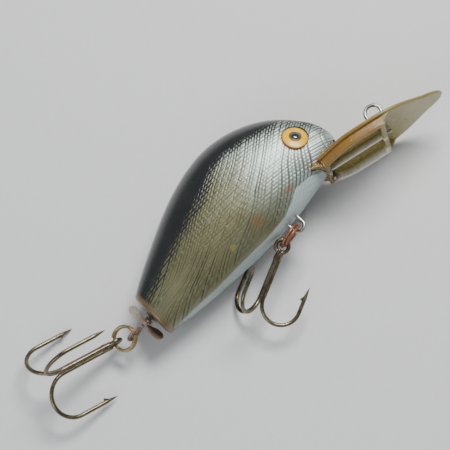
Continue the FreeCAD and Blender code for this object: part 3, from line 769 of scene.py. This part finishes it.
def snap_to_openings(points, side):
    """Move points just inside an opening onto its edge, and list those to cut away."""
    flat = points.reshape(-1, 3).copy()
    inside, under, ahead = open_mouth(flat)
    near = inside & ((under < SNAP_REACH) | (ahead < SNAP_REACH))
    up = near & (under <= ahead)
    forward = near & ~up
    flat[up, 1] = mouth_top(flat[up, 0])
    flat[forward, 0] = jaw_front(flat[forward, 1])
    gone = inside & ~near
    hole, rim, local = open_eye(flat, side)
    near_eye = hole & (rim < SNAP_REACH)
    rim_points = local[near_eye]
    radius = np.hypot(rim_points[:, 0], rim_points[:, 1])
    rim_points[:, :2] *= (EYE_POCKET_R / radius)[:, None]
    flat[near_eye] = eye_place(side).out(rim_points)
    gone |= hole & ~near_eye
    moved = up | forward | near_eye
    z = flank_z(flat[moved, 0], flat[moved, 1])
    flat[moved, 2] = side * (SEAM_GAP + z)
    return flat, gone


def carve(grid, side):
    """Press the engraved lines and the seam into the skin."""
    normal = np.cross(np.gradient(grid, axis=1), np.gradient(grid, axis=0))
    length = np.linalg.norm(normal, axis=2)
    length[length < 1e-9] = 1
    normal /= length[..., None]
    outward = np.sign((normal * (grid - np.array([25, 9, 0]))).sum(2).mean())
    normal *= outward
    x, y = grid[..., 0], grid[..., 1]
    rows, slants = line_coordinates(x, y)
    row_cut, slant_cut = line_strengths(x, y, rows, slants)
    depth = np.maximum(row_cut * cut_profile(rows), slant_cut * cut_profile(slants))
    sink = CUT_DEPTH * depth
    sink += SEAM_SINK * np.exp(-(grid[..., 2] / SEAM_WIDTH) ** 2)
    sink += UNEVEN_SKIN * (1 + noise_map(31, 2.0)(x, y))
    grid = grid - normal * sink[..., None]
    grid[:, 0, 2] = side * SEAM_GAP
    grid[:, -1, 2] = side * SEAM_GAP
    return grid, rows, slants, row_cut, slant_cut


def opening_walls(side):
    """The cut faces of the mouth, from the skin to the middle plane."""
    top_x = np.linspace(MOUTH_CORNER[0], MOUTH_FRONT, 40)
    top = [(x, mouth_top(x)) for x in top_x]
    jaw = smooth_path([(*p, 0) for p in JAW[:3]], 0.1)[:, :2]
    shells = []
    for line in (top, jaw):
        line = np.array(line)
        z = flank_z(line[:, 0], line[:, 1]) * side
        outer = np.c_[line, z]
        inner = np.c_[line, np.full(len(line), side * SEAM_GAP)]
        shells.append((np.concatenate([outer, inner]), grid_faces(2, len(line))))
    return shells


def shell_half(side, name, node, material):
    """One half of the body with its lines, mouth, eye pocket and paint marks."""
    carved, rows, slants, row_cut, slant_cut = carve(shell_grid(side), side)
    flat, gone = snap_to_openings(carved, side)
    quads = grid_faces(*carved.shape[:2])
    quads = quads[~gone[quads].any(1)]
    points, faces = join((flat, quads), *opening_walls(side))
    piece = make_piece(name, (points, faces), material, "lure", node, 60)
    count = len(points)
    add_uv(piece.data, "lines", np.stack([pad(rows, count), pad(slants, count)], 1))
    x, y = points[:, 0], points[:, 1]
    marks = {
        "row_cut": pad(row_cut, count),
        "slant_cut": pad(slant_cut, count),
        "back_depth": y - spline(*np.array(BACK_EDGE).T, np.clip(x, 0, 53))
        + 0.25 * noise_map(41, 1.6)(x, y),
        "belly_depth": np.interp(x, *np.array(BELLY_EDGE).T) - y,
        # painted highlight towards the head, on top of the real yellowing
        "silver_and_highlight": silver_and_highlight_share(x, y),
        "brown": smoothstep(33, 20, x) * (0.6 + 0.4 * noise_map(42, 3.0)(x, y)),
        "rust": spot(x, y, (28.6, 1.8), (1.9, 1.3)) + 0.8 * spot(x, y, (38.0, 2.0), (2.4, 0.8))
        + 0.7 * spot(x, y, (44.6, 2.8), (2.0, 0.6)),
        "moss": spot(x, y, (21.3, 1.5), (1.0, 0.7)),
        # painted shade in a brownish tone at the tail end
        "tail_end_shade": smoothstep(1.5, 0.5, x),
    }
    for key, values in marks.items():
        add_attribute(piece.data, key, values)


def silver_and_highlight_share(x, y):
    """Where the flank is still bright silver rather than yellowed; towards the head this
    brightness is partly a painted highlight.
    """
    head = smoothstep(26, 42, x + 0.25 * (y - 8))
    patch = noise_map(43, 4.0)(x, y)
    return np.clip(head * (0.85 + 0.25 * patch) + 0.10 * patch, 0, 1)


def pad(values, count):
    """The grid's values as one row, with zeros after them up to count."""
    return np.r_[values.ravel(), np.zeros(count - values.size)]


def add_uv(mesh, name, values):
    """UV map from one pair of numbers per vertex."""
    layer = mesh.uv_layers.new(name=name)
    corner = np.zeros(len(mesh.loops), int)
    mesh.loops.foreach_get("vertex_index", corner)
    layer.data.foreach_set("uv", values[corner].astype(np.float32).ravel())


def add_attribute(mesh, name, values):
    """One number per vertex for the material to read."""
    layer = mesh.attributes.new(name, "FLOAT", "POINT")
    layer.data.foreach_set("value", np.asarray(values, np.float32))


# ---------------------------------------------------------------------- lip

LIP_ROOT = np.array([46.3, 1.35, 0.0])
LIP_SLOPE_DEG = 13.3
LIP_THICK = 0.95
LIP_EDGE = [(0.0, 6.4), (2.5, 8.02), (5.0, 9.55), (9.8, 10.30), (14.5, 10.17),
            (20.4, 8.15), (25.2, 4.55), (27.4, 2.9)]
LIP_TIP_START = 25.2
LIP_TIP_HALF = 4.55
LIP_LENGTH = 29.4
RIB_AT = 14.5
RAIL_HEIGHT = 1.72
RAIL_MIDDLE = 1.35
RAIL_RAMP = 2.5
RAIL_WIDTH = 1.2
RAIL_REACH = 9.0
CENTRE_RIB_HEIGHT = 1.18
CENTRE_RIB_WIDTH = 0.95
CROSS_WALLS = ((0.8, 5.95), (RIB_AT, 9.42))
CROSS_WALL_WIDTH = 1.16
BAR_START = 0.9
BAR_TOP = 0.30
GUSSET_HALF = 5.3
LIP_SHARP_DEG = 38


def lip_place():
    """Lip coordinates: along the lip, across it, and up from its underside."""
    slope = math.radians(LIP_SLOPE_DEG)
    along = np.array([math.cos(slope), -math.sin(slope), 0.0])
    up = np.cross(Z, along)
    return Place(LIP_ROOT, along, np.cross(up, along), up)


def lip_half_width(a):
    """Half width of the blade a along it, with a round tip."""
    edge = np.array(LIP_EDGE)
    width = spline(edge[:, 0], edge[:, 1], np.clip(a, 0, LIP_TIP_START))
    tip = np.clip((a - LIP_TIP_START) / (LIP_LENGTH - LIP_TIP_START), 0, 1)
    round_tip = LIP_TIP_HALF * np.sqrt(np.clip(1 - tip ** 1.15, 0, 1))
    return np.where(a < LIP_TIP_START, width, round_tip)


def lip_blade():
    """Flat blade with rounded edges, thinner towards the tip."""
    stations = np.r_[np.linspace(0, LIP_TIP_START, 90), LIP_TIP_START
                     + (LIP_LENGTH - LIP_TIP_START) * np.sin(np.linspace(0, math.pi / 2, 26)[1:])]
    stations[-1] = LIP_LENGTH - 0.01
    rings = []
    for a in stations:
        width = float(lip_half_width(np.array(a)))
        thick = LIP_THICK - 0.14 - 0.25 * float(smoothstep(RIB_AT, LIP_LENGTH, a))
        thick *= 1 - 0.5 * float(smoothstep(LIP_LENGTH - 1.0, LIP_LENGTH, a))
        r = min(thick / 2, max(width * 0.95, 0.05))
        crown = 0.06 * float(smoothstep(2, 10, a))
        top = [(b * (width - r), r + crown * (1 - b * b)) for b in np.linspace(-1, 1, 21)]
        right = [(width - r + r * math.sin(t), r * math.cos(t))
                 for t in np.linspace(0.3, math.pi - 0.3, 7)]
        bottom = [(b, -r) for b, _ in top[::-1]]
        left = [(-y, -z) for y, z in right]
        loop = top + right + bottom + left
        rings.append([(a, y, LIP_THICK / 2 + z) for y, z in loop])
    return np.array(rings).reshape(-1, 3), loft_faces(len(rings), len(rings[0]))


def lip_bars():
    """Side rails, centre rib, cross rib and root wall under the blade."""
    bars = []
    run = np.linspace(BAR_START, RIB_AT + RAIL_RAMP, 48)
    width = np.minimum(lip_half_width(np.clip(run, 0, RIB_AT)) - RAIL_MIDDLE, RAIL_REACH)
    lows = np.minimum(-RAIL_HEIGHT + RAIL_HEIGHT * (run - RIB_AT) / RAIL_RAMP, -0.02)
    lows = np.maximum(lows, -RAIL_HEIGHT)
    for side in (-1, 1):
        path = np.stack([run, side * width], 1)
        bars.append(rounded_bar(path, RAIL_WIDTH, lows, BAR_TOP))
    rib = np.stack([np.linspace(BAR_START, RIB_AT - 0.2, 12), np.zeros(12)], 1)
    bars.append(rounded_bar(rib, CENTRE_RIB_WIDTH, -CENTRE_RIB_HEIGHT, BAR_TOP))
    for at, half in CROSS_WALLS:
        path = np.stack([np.full(30, at), np.linspace(-half, half, 30)], 1)
        bars.append(rounded_bar(path, CROSS_WALL_WIDTH, -RAIL_HEIGHT, BAR_TOP))
    return bars


def gusset():
    """Wedge of lip plastic that fills the mouth between the jaws."""
    x, y = MOUTH_CORNER
    outline = [(x + 0.3, y), (x + 5.2, y + 1.15), (x + 6.0, y - 0.6), (x + 3.2, y - 1.5),
               (46.25, 0.2), (45.35, 1.05)]
    across = np.linspace(-GUSSET_HALF, GUSSET_HALF, 12)
    rings = [[(px, py, z) for px, py in outline] for z in across]
    return np.array(rings).reshape(-1, 3), loft_faces(len(across), len(outline))


def lip(material):
    """The whole lip as one solid, welded from blade, bars and gusset."""
    seat = lip_place()
    shells = [(seat.out(p), f) for p, f in [lip_blade(), *lip_bars()]]
    shells.append(gusset())
    piece = make_piece("diving_lip_amber", shells[0], material, "lure",
                       "diving_lip", LIP_SHARP_DEG)
    weld(piece, join(*shells[1:]), "lip_bars")
    finish_lip(piece, seat)


def weld(piece, shell, name):
    """Fuse another closed shell into a piece."""
    mesh = make_mesh(name, shell)
    fix_normals(mesh)
    extra = add_object(name, mesh)
    modifier = piece.modifiers.new(name, "BOOLEAN")
    modifier.operation = "UNION"
    modifier.solver = "EXACT"
    modifier.use_self = True
    modifier.object = extra
    apply_modifiers(piece)
    bpy.data.objects.remove(extra)


def apply_modifiers(piece):
    """Bake a piece's modifiers into its mesh."""
    graph = bpy.context.evaluated_depsgraph_get()
    result = bpy.data.meshes.new_from_object(piece.evaluated_get(graph))
    piece.modifiers.clear()
    old = piece.data
    piece.data = result
    bpy.data.meshes.remove(old)


def lure_points(mesh):
    """Vertices of a mesh back in lure-frame millimetres."""
    flat = np.zeros(len(mesh.vertices) * 3)
    mesh.vertices.foreach_get("co", flat)
    return (flat.reshape(-1, 3) / MM - SHIFT) @ TILT


def finish_lip(piece, seat):
    """Smooth the welded lip, and mark its stains, the painted shade by the near rail, the painted
    pale reflection and the painted light.
    """
    mesh = piece.data
    mesh.shade_smooth()
    mark_sharp(mesh, LIP_SHARP_DEG)
    points = seat.inside(lure_points(mesh))
    along, across = points[:, 0], points[:, 1]
    low = smoothstep(-0.1, -0.5, points[:, 2])
    inside = smoothstep(0.6, 1.4, along) * smoothstep(RIB_AT + 1.0, RIB_AT - 0.2, along)
    stain_and_shade = smoothstep(1.3, -0.2, along) * 0.9
    stain_and_shade += 0.55 * smoothstep(3.0, 0.0, np.hypot(along - 3.4, across + 7.4) - 1.2)
    # darkening along the near rail inside the bay is painted shade, not stain
    near_rail_shade = smoothstep(-5.6, -7.6, across)
    stain_and_shade += 0.75 * near_rail_shade * inside
    # pale: painted reflection on the far rail's inner face and along the centre rib underneath
    pale = low * smoothstep(5.2, 6.4, across) * inside
    pale += 0.8 * low * smoothstep(1.2, 0.3, np.abs(across)) * inside
    # lit: painted light, not a change in the plastic
    lit = smoothstep(RIB_AT + 0.5, RIB_AT + 2.5, along) * 0.6
    lit += 0.8 * low * smoothstep(1.0, 0.4, np.abs(along - RIB_AT))
    lit += 0.5 * smoothstep(4.6, 6.8, across) * inside
    for name, mark in (("stain_and_shade", stain_and_shade), ("pale", pale), ("lit", lit)):
        add_attribute(mesh, name, np.clip(mark, 0, 1))


# ----------------------------------------------------------- small hardware

PIN_AT = 1.7
PIN_SIDE = 3.4
PIN_HEAD_R = 0.85
TIE_AT = 15.2
TIE_HEIGHT = 4.6
TIE_RING_R = 1.72
TIE_WIRE_R = 0.38
HANGER_AT = np.array([34.3, -3.25, 0.0])
HANGER_BEND_R = 1.3
HANGER_WIRE_R = 0.38
SHAFT_Y = 5.2
SHAFT_R = 0.4
TAIL_LOOP_X = -5.1
TAIL_LOOP_R = 1.55


def arc(centre, radius, start_deg, end_deg, x_dir, y_dir, step_deg=6.0):
    """Points on an arc in the plane of two directions."""
    count = max(3, int(abs(end_deg - start_deg) / step_deg))
    angles = np.radians(np.linspace(start_deg, end_deg, count))
    return (np.asarray(centre, float) + radius * np.outer(np.cos(angles), x_dir)
            + radius * np.outer(np.sin(angles), y_dir))


def straight(start, end, step=0.3):
    count = max(2, int(np.linalg.norm(np.subtract(end, start)) / step))
    return np.linspace(start, end, count)


def chain(*parts):
    """Join path parts, dropping points that repeat."""
    points = np.concatenate(parts)
    keep = np.r_[True, np.linalg.norm(np.diff(points, axis=0), axis=1) > 1e-4]
    return points[keep]


def lip_pin(material):
    """Round-headed rusty pin in the root of the lip."""
    under = lip_place()
    seat = Place(under.out([PIN_AT, PIN_SIDE, -RAIL_HEIGHT]),
                 under.direction(X), -under.direction(Y), -under.direction(Z))
    dome = [(PIN_HEAD_R * math.cos(a), PIN_HEAD_R * 0.95 * math.sin(a))
            for a in np.radians(np.linspace(0, 84, 16))]
    profile = [(0.5, -2.4), (0.5, -0.15), (PIN_HEAD_R - 0.08, -0.12), (PIN_HEAD_R, -0.04)]
    shell = lathe(profile + dome + [(0.02, PIN_HEAD_R * 0.95)], seat, 40)
    make_piece("lip_pin_head", shell, material, "lure", "lip_pin", 50)


def line_tie(material):
    """Wire eye on the lip: a closed ring on a stem, turned over underneath."""
    foot = straight([TIE_AT + 1.1, 0, -0.55], [TIE_AT + 0.5, 0, -0.55])
    corner = arc([TIE_AT + 0.5, 0, -0.05], 0.5, 270, 180, X, Z, 10)
    stem = straight([TIE_AT, 0, -0.05], [TIE_AT, 0, TIE_HEIGHT - TIE_RING_R - 0.25])
    ring = arc([TIE_AT, 0, TIE_HEIGHT], TIE_RING_R, 262, -86, X, Z, 5)
    path = smooth_path(chain(foot, corner, stem, ring)[::2], 0.12)
    shell = tube(lip_place().out(path), TIE_WIRE_R, 24)
    make_piece("line_tie_eye", shell, material, "lure", "line_tie", 0)


def belly_hanger(material):
    """Plain U of wire that carries the belly ring."""
    c = HANGER_AT
    left = straight([c[0] - HANGER_BEND_R, 1.4, 0], [c[0] - HANGER_BEND_R, c[1], 0])
    bend = arc(c, HANGER_BEND_R, 180, 360, X, Y, 8)
    right = straight([c[0] + HANGER_BEND_R, c[1], 0], [c[0] + HANGER_BEND_R, 1.4, 0])
    shell = tube(chain(left, bend, right), HANGER_WIRE_R, 24)
    make_piece("belly_hook_hanger", shell, material, "lure", "belly_hanger", 0)


def tail_wire(material):
    """Tail shaft that runs through the propeller and closes in a loop behind it."""
    start = straight([6.0, SHAFT_Y, 0], [TAIL_LOOP_X + TAIL_LOOP_R + 0.9, SHAFT_Y, 0])
    centre = np.array([TAIL_LOOP_X, SHAFT_Y, 0.0])
    loop = arc(centre, TAIL_LOOP_R, 4, 352, X, Z, 5)
    path = smooth_path(chain(start, loop)[::2], 0.12)
    radii = np.interp(path[:, 0], [TAIL_LOOP_X + TAIL_LOOP_R, TAIL_LOOP_X + TAIL_LOOP_R + 1.2],
                      [SHAFT_R * 0.92, SHAFT_R])
    shell = tube(path, radii, 24)
    make_piece("tail_shaft_wire", shell, material, "lure", "tail_wire", 0)


def eyes(enamel, gloss):
    """Domed eyes and raised pupils on both cheeks."""
    ball_r = (EYE_R ** 2 + EYE_DOME ** 2) / (2 * EYE_DOME)
    for side, word in ((-1, "left"), (1, "right")):
        seat = eye_place(side)
        radii = np.linspace(EYE_R, 0.02, 34)
        dome = [(r, EYE_DOME - ball_r + math.sqrt(ball_r ** 2 - r * r)) for r in radii]
        dome = [(r, h - 0.10 * smoothstep(0.30, 0.40, r / EYE_R)
                 * smoothstep(0.52, 0.42, r / EYE_R)) for r, h in dome]
        rim = [(EYE_R - 0.05, -EYE_DEPTH), (EYE_R, -EYE_DEPTH + 0.08), (EYE_R, -0.06)]
        shell = lathe(rim + dome, seat, 96)
        eye = make_piece("eye_disc_" + word, shell, enamel, "lure",
                         "eye_" + word, 50)
        local = seat.inside(lure_points(eye.data))
        angle = np.arctan2(local[:, 1], local[:, 0])
        rng = np.random.default_rng(51)
        rays = np.interp(angle, np.linspace(-math.pi, math.pi, 73), rng.uniform(0, 1, 73))
        add_attribute(eye.data, "eye_radius", np.hypot(local[:, 0], local[:, 1]) / EYE_R)
        add_attribute(eye.data, "eye_rays", rays)
        low = EYE_DOME - 0.30
        high = [(PUPIL_R * math.cos(a), low + 0.18 + 0.36 * math.sin(a))
                for a in np.radians(np.linspace(0, 88, 16))]
        shell = lathe([(PUPIL_R * 0.94, low), (PUPIL_R, low + 0.08)] + high, seat, 56)
        make_piece("pupil_dome_" + word, shell, gloss, "lure",
                   "pupil_" + word, 60)


# -------------------------------------------------- propeller and bearings

PROP_X = -2.05
PROP_R = 4.8
PROP_PITCH_DEG = 32.0
PROP_HUB_R = 0.95
PROP_HUB_LEN = 0.8
PROP_BORE_R = 0.46
PROP_SHEET = 0.30
BLADE_START = 0.62
BLADE_TIP = 0.5
BLADE_SPANS = [0.6, 1.2, 2.3, 3.2, 3.9, 4.3, 4.8]
BLADE_LEAD = [0.55, 0.80, 1.50, 1.66, 1.68, 1.36, 0.70]
BLADE_TRAIL = [0.55, 0.72, 1.42, 1.64, 1.70, 1.50, 0.55]
WASHER_R = 1.5
BEAD_R = 0.95
BEAD_LEN = 0.75
BEAD_PLAY = 0.15


def blade_sheet(side):
    """One cupped and twisted blade of thin sheet with rounded edges."""
    root = PROP_R - BLADE_TIP
    spans = np.r_[np.linspace(BLADE_START, root, 22),
                  root + BLADE_TIP * np.sin(np.linspace(0, math.pi / 2, 8)[1:])]
    across = np.linspace(-1, 1, 15)
    loop = [(t, 0.5) for t in across] + [(t, -0.5) for t in across[::-1]]
    points = []
    for r in spans:
        lead = np.interp(r, BLADE_SPANS, BLADE_LEAD)
        trail = np.interp(r, BLADE_SPANS, BLADE_TRAIL)
        pitch = math.radians(PROP_PITCH_DEG + 4 * (1 - r / PROP_R))
        for t, face in loop:
            z = (lead if t > 0 else trail) * t
            cup = 0.16 * (z / 1.6) ** 2 * min(1.0, r / 2.5)
            x = cup + PROP_SHEET * (1 - 0.55 * abs(t) ** 6) * face
            points.append((x * math.cos(pitch) + z * math.sin(pitch), r,
                           -x * math.sin(pitch) + z * math.cos(pitch)))
    points = np.array(points)
    if side < 0:
        points = points @ turn(X, 180).T
    return points, loft_faces(len(spans), len(loop))


def propeller(material):
    """Two-blade propeller with a bored hub."""
    centre = np.array([PROP_X, SHAFT_Y, 0.0])
    hub_place = place_facing(centre, X, Y)
    half = PROP_HUB_LEN / 2
    profile = [(PROP_BORE_R, -half), (PROP_HUB_R - 0.12, -half), (PROP_HUB_R, -half + 0.12),
               (PROP_HUB_R - 0.05, 0), (PROP_HUB_R, half - 0.12), (PROP_HUB_R - 0.12, half),
               (PROP_BORE_R, half)]
    hub = ring_lathe(profile, hub_place, 40)
    shells = [hub] + [(p + centre, f) for p, f in (blade_sheet(1), blade_sheet(-1))]
    piece = make_piece("tail_propeller", join(*shells), material, "prop",
                       "propeller", 45)
    points = lure_points(piece.data)
    add_attribute(piece.data, "span", (points[:, 1] - SHAFT_Y) / PROP_R)


def cup_washer(material):
    """Thin washer against the tail end, thickest round its bore."""
    seat = place_facing([-0.30, SHAFT_Y, 0], -X, Y)
    profile = [(0.43, -0.17), (WASHER_R - 0.1, -0.17), (WASHER_R, -0.10), (WASHER_R, 0.02),
               (1.2, 0.10), (0.75, 0.17), (0.43, 0.19)]
    shell = ring_lathe(profile, seat, 56)
    make_piece("tail_cup_washer", shell, material, "lure", "cup_washer", 35)


def shaft_bead(material):
    """Round bearing bead on the shaft."""
    x = PROP_X + PROP_HUB_LEN / 2 + BEAD_PLAY
    seat = place_facing([x + BEAD_LEN / 2, SHAFT_Y, 0], X, Y)
    reach = math.asin(BEAD_LEN / 2 / BEAD_R)
    profile = [(BEAD_R * math.cos(a), BEAD_R * math.sin(a))
               for a in np.linspace(-reach, reach, 13)]
    profile = [(PROP_BORE_R, -BEAD_LEN / 2)] + profile + [(PROP_BORE_R, BEAD_LEN / 2)]
    shell = ring_lathe(profile, seat, 40)
    make_piece("tail_shaft_bead", shell, material, "prop", "shaft_bead", 40)


# ---------------------------------------------------------- rings and hooks

RING_WIRE_R = 0.32
RING_PITCH = 0.68
RING_TURNS = 1.85
EYE_STEM = 0.95
SHANK_GAP = 0.02
POINT_LENGTH = 2.6
POINT_END_R = 0.05
POINT_FLARE = 0.10
BARB_LAYERS = ((-0.16, 0.6), (-0.10, 1.0), (0.10, 1.0), (0.16, 0.6))
HANGINGS = {
    "belly": {
        "length": 15.8, "gape": 8.4, "wire": 0.42, "eye": 1.35, "point": 0.45,
        "spin": 12.0, "ring": 2.7, "loop": HANGER_AT, "back": (-1, -0.14, 0),
        "axis": (-0.14, 1, 0.12), "shank": (-0.92, -0.36, -0.12)},
    "tail": {
        "length": 18.0, "gape": 10.1, "wire": 0.45, "eye": 1.35, "point": 0.60,
        "spin": 0.0, "ring": 2.5, "loop": np.array([TAIL_LOOP_X, SHAFT_Y, 0.0]),
        "back": (-0.83, 0.442, -0.342), "axis": (-0.302, 0.161, 0.941),
        "shank": (-0.90, 0.16, 0.41)},
}


def ring_place(spec):
    back = unit(spec["back"])
    return place_along(spec["loop"] + back * spec["ring"], back, spec["axis"])


def treble_place(spec):
    """Where the treble's eye hangs, with local x down its shank."""
    at = ring_place(spec)
    eye = at.out([spec["ring"], 0, 0])
    return place_along(eye, spec["shank"], at.direction(Y))


def split_ring(where, spec, material):
    """Split ring of nearly two coils of round wire."""
    turns = np.linspace(0, RING_TURNS * 2 * math.pi, 150)
    start = math.pi - math.radians(360 * (RING_TURNS - 1) / 2)
    height = RING_PITCH * RING_TURNS
    rise = RING_PITCH * turns / (2 * math.pi) - height / 2
    path = np.stack([spec["ring"] * np.cos(turns + start), spec["ring"] * np.sin(turns + start),
                     rise], 1)
    shell = tube(ring_place(spec).out(path), RING_WIRE_R, 20)
    make_piece(where + "_ring_coil", shell, material, where + "_ring",
               where + "_split_ring", 0)


def hook_path(spec, offset):
    """Shank, round bend and point limb in the plane of one hook."""
    wire = spec["wire"]
    bend = (spec["gape"] - offset) / 2
    straight_end = spec["length"] - bend - wire
    back = straight_end - (spec["length"] * spec["point"] - bend)
    shank = straight([EYE_STEM, offset, 0], [straight_end, offset, 0])
    curve = arc([straight_end, offset + bend, 0], bend, -90, 90, X, Y, 4)
    limb = straight([straight_end, spec["gape"], 0], [back, spec["gape"], 0])
    point = straight([back, spec["gape"], 0], [back - POINT_LENGTH, spec["gape"], 0], 0.12)
    path = chain(shank, curve, limb, point)
    away = np.clip((back - path[:, 0]) / POINT_LENGTH, 0, 1)
    away *= path[:, 1] > spec["gape"] - 0.01
    radii = wire * (1 - away ** 1.15) + POINT_END_R * away
    path[:, 1] += POINT_FLARE * away ** 2
    return path, radii, back


def hook(spec, angle_deg):
    """One hook wire with a ground point and a lifted barb."""
    offset = spec["wire"] * 2 / math.sqrt(3) + SHANK_GAP
    path, radii, back = hook_path(spec, offset)
    spin = turn(X, angle_deg)
    return [(p @ spin.T, f) for p, f in (tube(path, radii, 20), barb(spec, back))]


def barb(spec, back):
    """Thin three-cornered sliver lifted off the inner side of the point limb."""
    wire = spec["wire"]
    foot = back + 0.4
    y = spec["gape"] - wire * 0.55
    corners = np.array([(foot + 0.25, y), (foot + 0.02, y - wire * 0.45 - 0.52),
                        (foot - 1.5, y + 0.25)])
    middle = corners.mean(axis=0)
    layers = []
    for z, grow in BARB_LAYERS:
        layers.append([(*(middle + (corner - middle) * grow), z) for corner in corners])
    return np.array(layers).reshape(-1, 3), loft_faces(len(layers), len(corners))


def treble(where, spec, material):
    """Double hook with its eye, and the third hook brazed to the shank."""
    at = treble_place(spec)
    up = at.inward(Z)
    single_deg = math.degrees(math.atan2(up[2], up[1])) + spec["spin"]
    wire = spec["wire"]
    eye = arc([0, 0, 0], spec["eye"], 6, 354, X, Y, 6)
    neck = [(wire * 1.1, 0.0), (wire * 1.35, 0.35), (wire * 1.9, 1.1), (wire * 2.0, 1.8),
            (wire * 1.75, 2.1)]
    neck_place = place_facing([spec["eye"] - 0.35, 0, 0], X, Y)
    braze = smooth_path([(2.2, 0, 0), (4.5, 0, 0), (7.4, 0, 0)], 0.3)
    braze_r = wire * (0.95 + 0.12 * np.sin(np.linspace(0, 9, len(braze))))
    double = [tube(eye, wire, 20), lathe(neck, neck_place, 28), tube(braze, braze_r, 16)]
    for angle in (single_deg - 120, single_deg + 120):
        double += hook(spec, angle)
    body = where + "_treble"
    pair = join(*[(at.out(p), f) for p, f in double])
    make_piece(where + "_treble_pair", pair, material, body,
               where + "_treble_double", 50)
    third = join(*[(at.out(p), f) for p, f in hook(spec, single_deg)])
    make_piece(where + "_treble_third", third, material, body,
               where + "_treble_single", 50)


# ------------------------------------------------------------------- studio

CAMERA_DISTANCE = 450.0
CAMERA_AZIMUTH = -30.324
CAMERA_ELEVATION = 73.286
CAMERA_ROLL = -14.644
CAMERA_TARGET = SHIFT + (23.637, 7.487, 3.449)
SENSOR_WIDTH = 36.0
FOCAL_SHARE = 4.858
LIGHT_TARGET = (0, 0, 0.01)
FLOOR_HALF = 1.2
FLOOR_DROP = 0.0002


def camera():
    """Camera at the viewing angle of the reference view."""
    data = bpy.data.cameras.new("view")
    data.sensor_width = SENSOR_WIDTH
    data.lens = SENSOR_WIDTH * FOCAL_SHARE
    data.clip_start, data.clip_end = 0.02, 5.0
    e, a, r = (math.radians(v) for v in (CAMERA_ELEVATION, CAMERA_AZIMUTH, CAMERA_ROLL))
    back = np.array([math.sin(a) * math.cos(e), -math.cos(a) * math.cos(e), math.sin(e)])
    right = np.array([math.cos(a), math.sin(a), 0.0])
    up = np.cross(back, right)
    level = math.cos(r) * right + math.sin(r) * up
    upright = -math.sin(r) * right + math.cos(r) * up
    place = (CAMERA_TARGET + CAMERA_DISTANCE * back) * MM
    matrix = Matrix.Identity(4)
    for column, vector in enumerate((level, upright, back, place)):
        for row in range(3):
            matrix[row][column] = vector[row]
    result = add_object("view", data)
    result.matrix_world = matrix
    bpy.context.scene.camera = result


def area_light(name, place, size, power, colour):
    """Soft rectangular light aimed at the lure, in metres."""
    data = bpy.data.lights.new(name, "AREA")
    data.shape = "RECTANGLE"
    data.size, data.size_y = size
    data.energy = power
    data.color = colour
    lamp = add_object(name, data)
    lamp.location = place
    aim = Vector(LIGHT_TARGET) - Vector(place)
    lamp.rotation_euler = aim.to_track_quat("-Z", "Y").to_euler()


def studio():
    """Pale floor, a soft key light, a weak side light and a pale surround."""
    corners = [(-1, -1), (1, -1), (1, 1), (-1, 1)]
    mesh = bpy.data.meshes.new("floor")
    mesh.from_pydata([(x * FLOOR_HALF, y * FLOOR_HALF, -FLOOR_DROP) for x, y in corners], [],
                     [(0, 1, 2, 3)])
    mesh.materials.append(floor_finish())
    floor = add_object("floor", mesh)
    area_light("key", (0.24, 0.10, 0.42), (0.24, 0.16), 3.4, (1.0, 0.99, 0.96))
    area_light("side", (-0.34, -0.06, 0.26), (0.28, 0.28), 0.7, (0.93, 0.97, 1.0))
    sky = bpy.data.worlds.new("sky")
    sky.use_nodes = True
    background = sky.node_tree.nodes["Background"]
    background.inputs["Color"].default_value = (0.86, 0.90, 0.95, 1)
    background.inputs["Strength"].default_value = 0.30
    bpy.context.scene.world = sky


# ----------------------------------------------------------------- assembly

# Name, plated colour, worn colour, spot colour, share of spots, roughness from
# and to, and pit height in millimetres.
METALS = [
    ("bright_wire", (0.46, 0.46, 0.44), (0.30, 0.29, 0.26), (0.16, 0.12, 0.08),
     0.22, (0.16, 0.34), 0.012),
    ("dull_steel_wire", (0.36, 0.33, 0.29), (0.22, 0.18, 0.14), (0.20, 0.085, 0.04),
     0.7, (0.3, 0.6), 0.02),
    ("bronzed_hook_wire", (0.150, 0.118, 0.070), (0.235, 0.205, 0.150), (0.070, 0.045, 0.025),
     0.40, (0.20, 0.40), 0.012),
    ("copper_rust_ring", (0.42, 0.22, 0.13), (0.30, 0.13, 0.07), (0.15, 0.06, 0.035),
     0.6, (0.35, 0.62), 0.03),
    ("straw_rust_ring", (0.46, 0.37, 0.20), (0.32, 0.22, 0.10), (0.17, 0.09, 0.04),
     0.45, (0.28, 0.5), 0.02),
    ("pin_rust", (0.36, 0.30, 0.26), (0.24, 0.15, 0.11), (0.05, 0.035, 0.03),
     0.45, (0.22, 0.45), 0.03)]


def build():
    """Make every piece and its finish."""
    paint = shell_paint()
    shell_half(1, "shell_skin_right", "body_shell_right", paint)
    shell_half(-1, "shell_skin_left", "body_shell_left", paint)
    lip(amber_plastic())
    eyes(eye_enamel(), pupil_gloss())
    chrome, steel, bronze, copper, straw, pin = (metal(*row) for row in METALS)
    lip_pin(pin)
    line_tie(chrome)
    belly_hanger(chrome)
    tail_wire(steel)
    cup_washer(pin)
    shaft_bead(pin)
    propeller(prop_metal())
    split_ring("belly", HANGINGS["belly"], copper)
    split_ring("tail", HANGINGS["tail"], straw)
    for where, spec in HANGINGS.items():
        treble(where, spec, bronze)
    for node, finish in (("ballast_weight", steel), ("rattle_ball", steel)):
        frame["nodes"][node].data.materials.clear()
        frame["nodes"][node].data.materials.append(finish)


build()
studio()
camera()
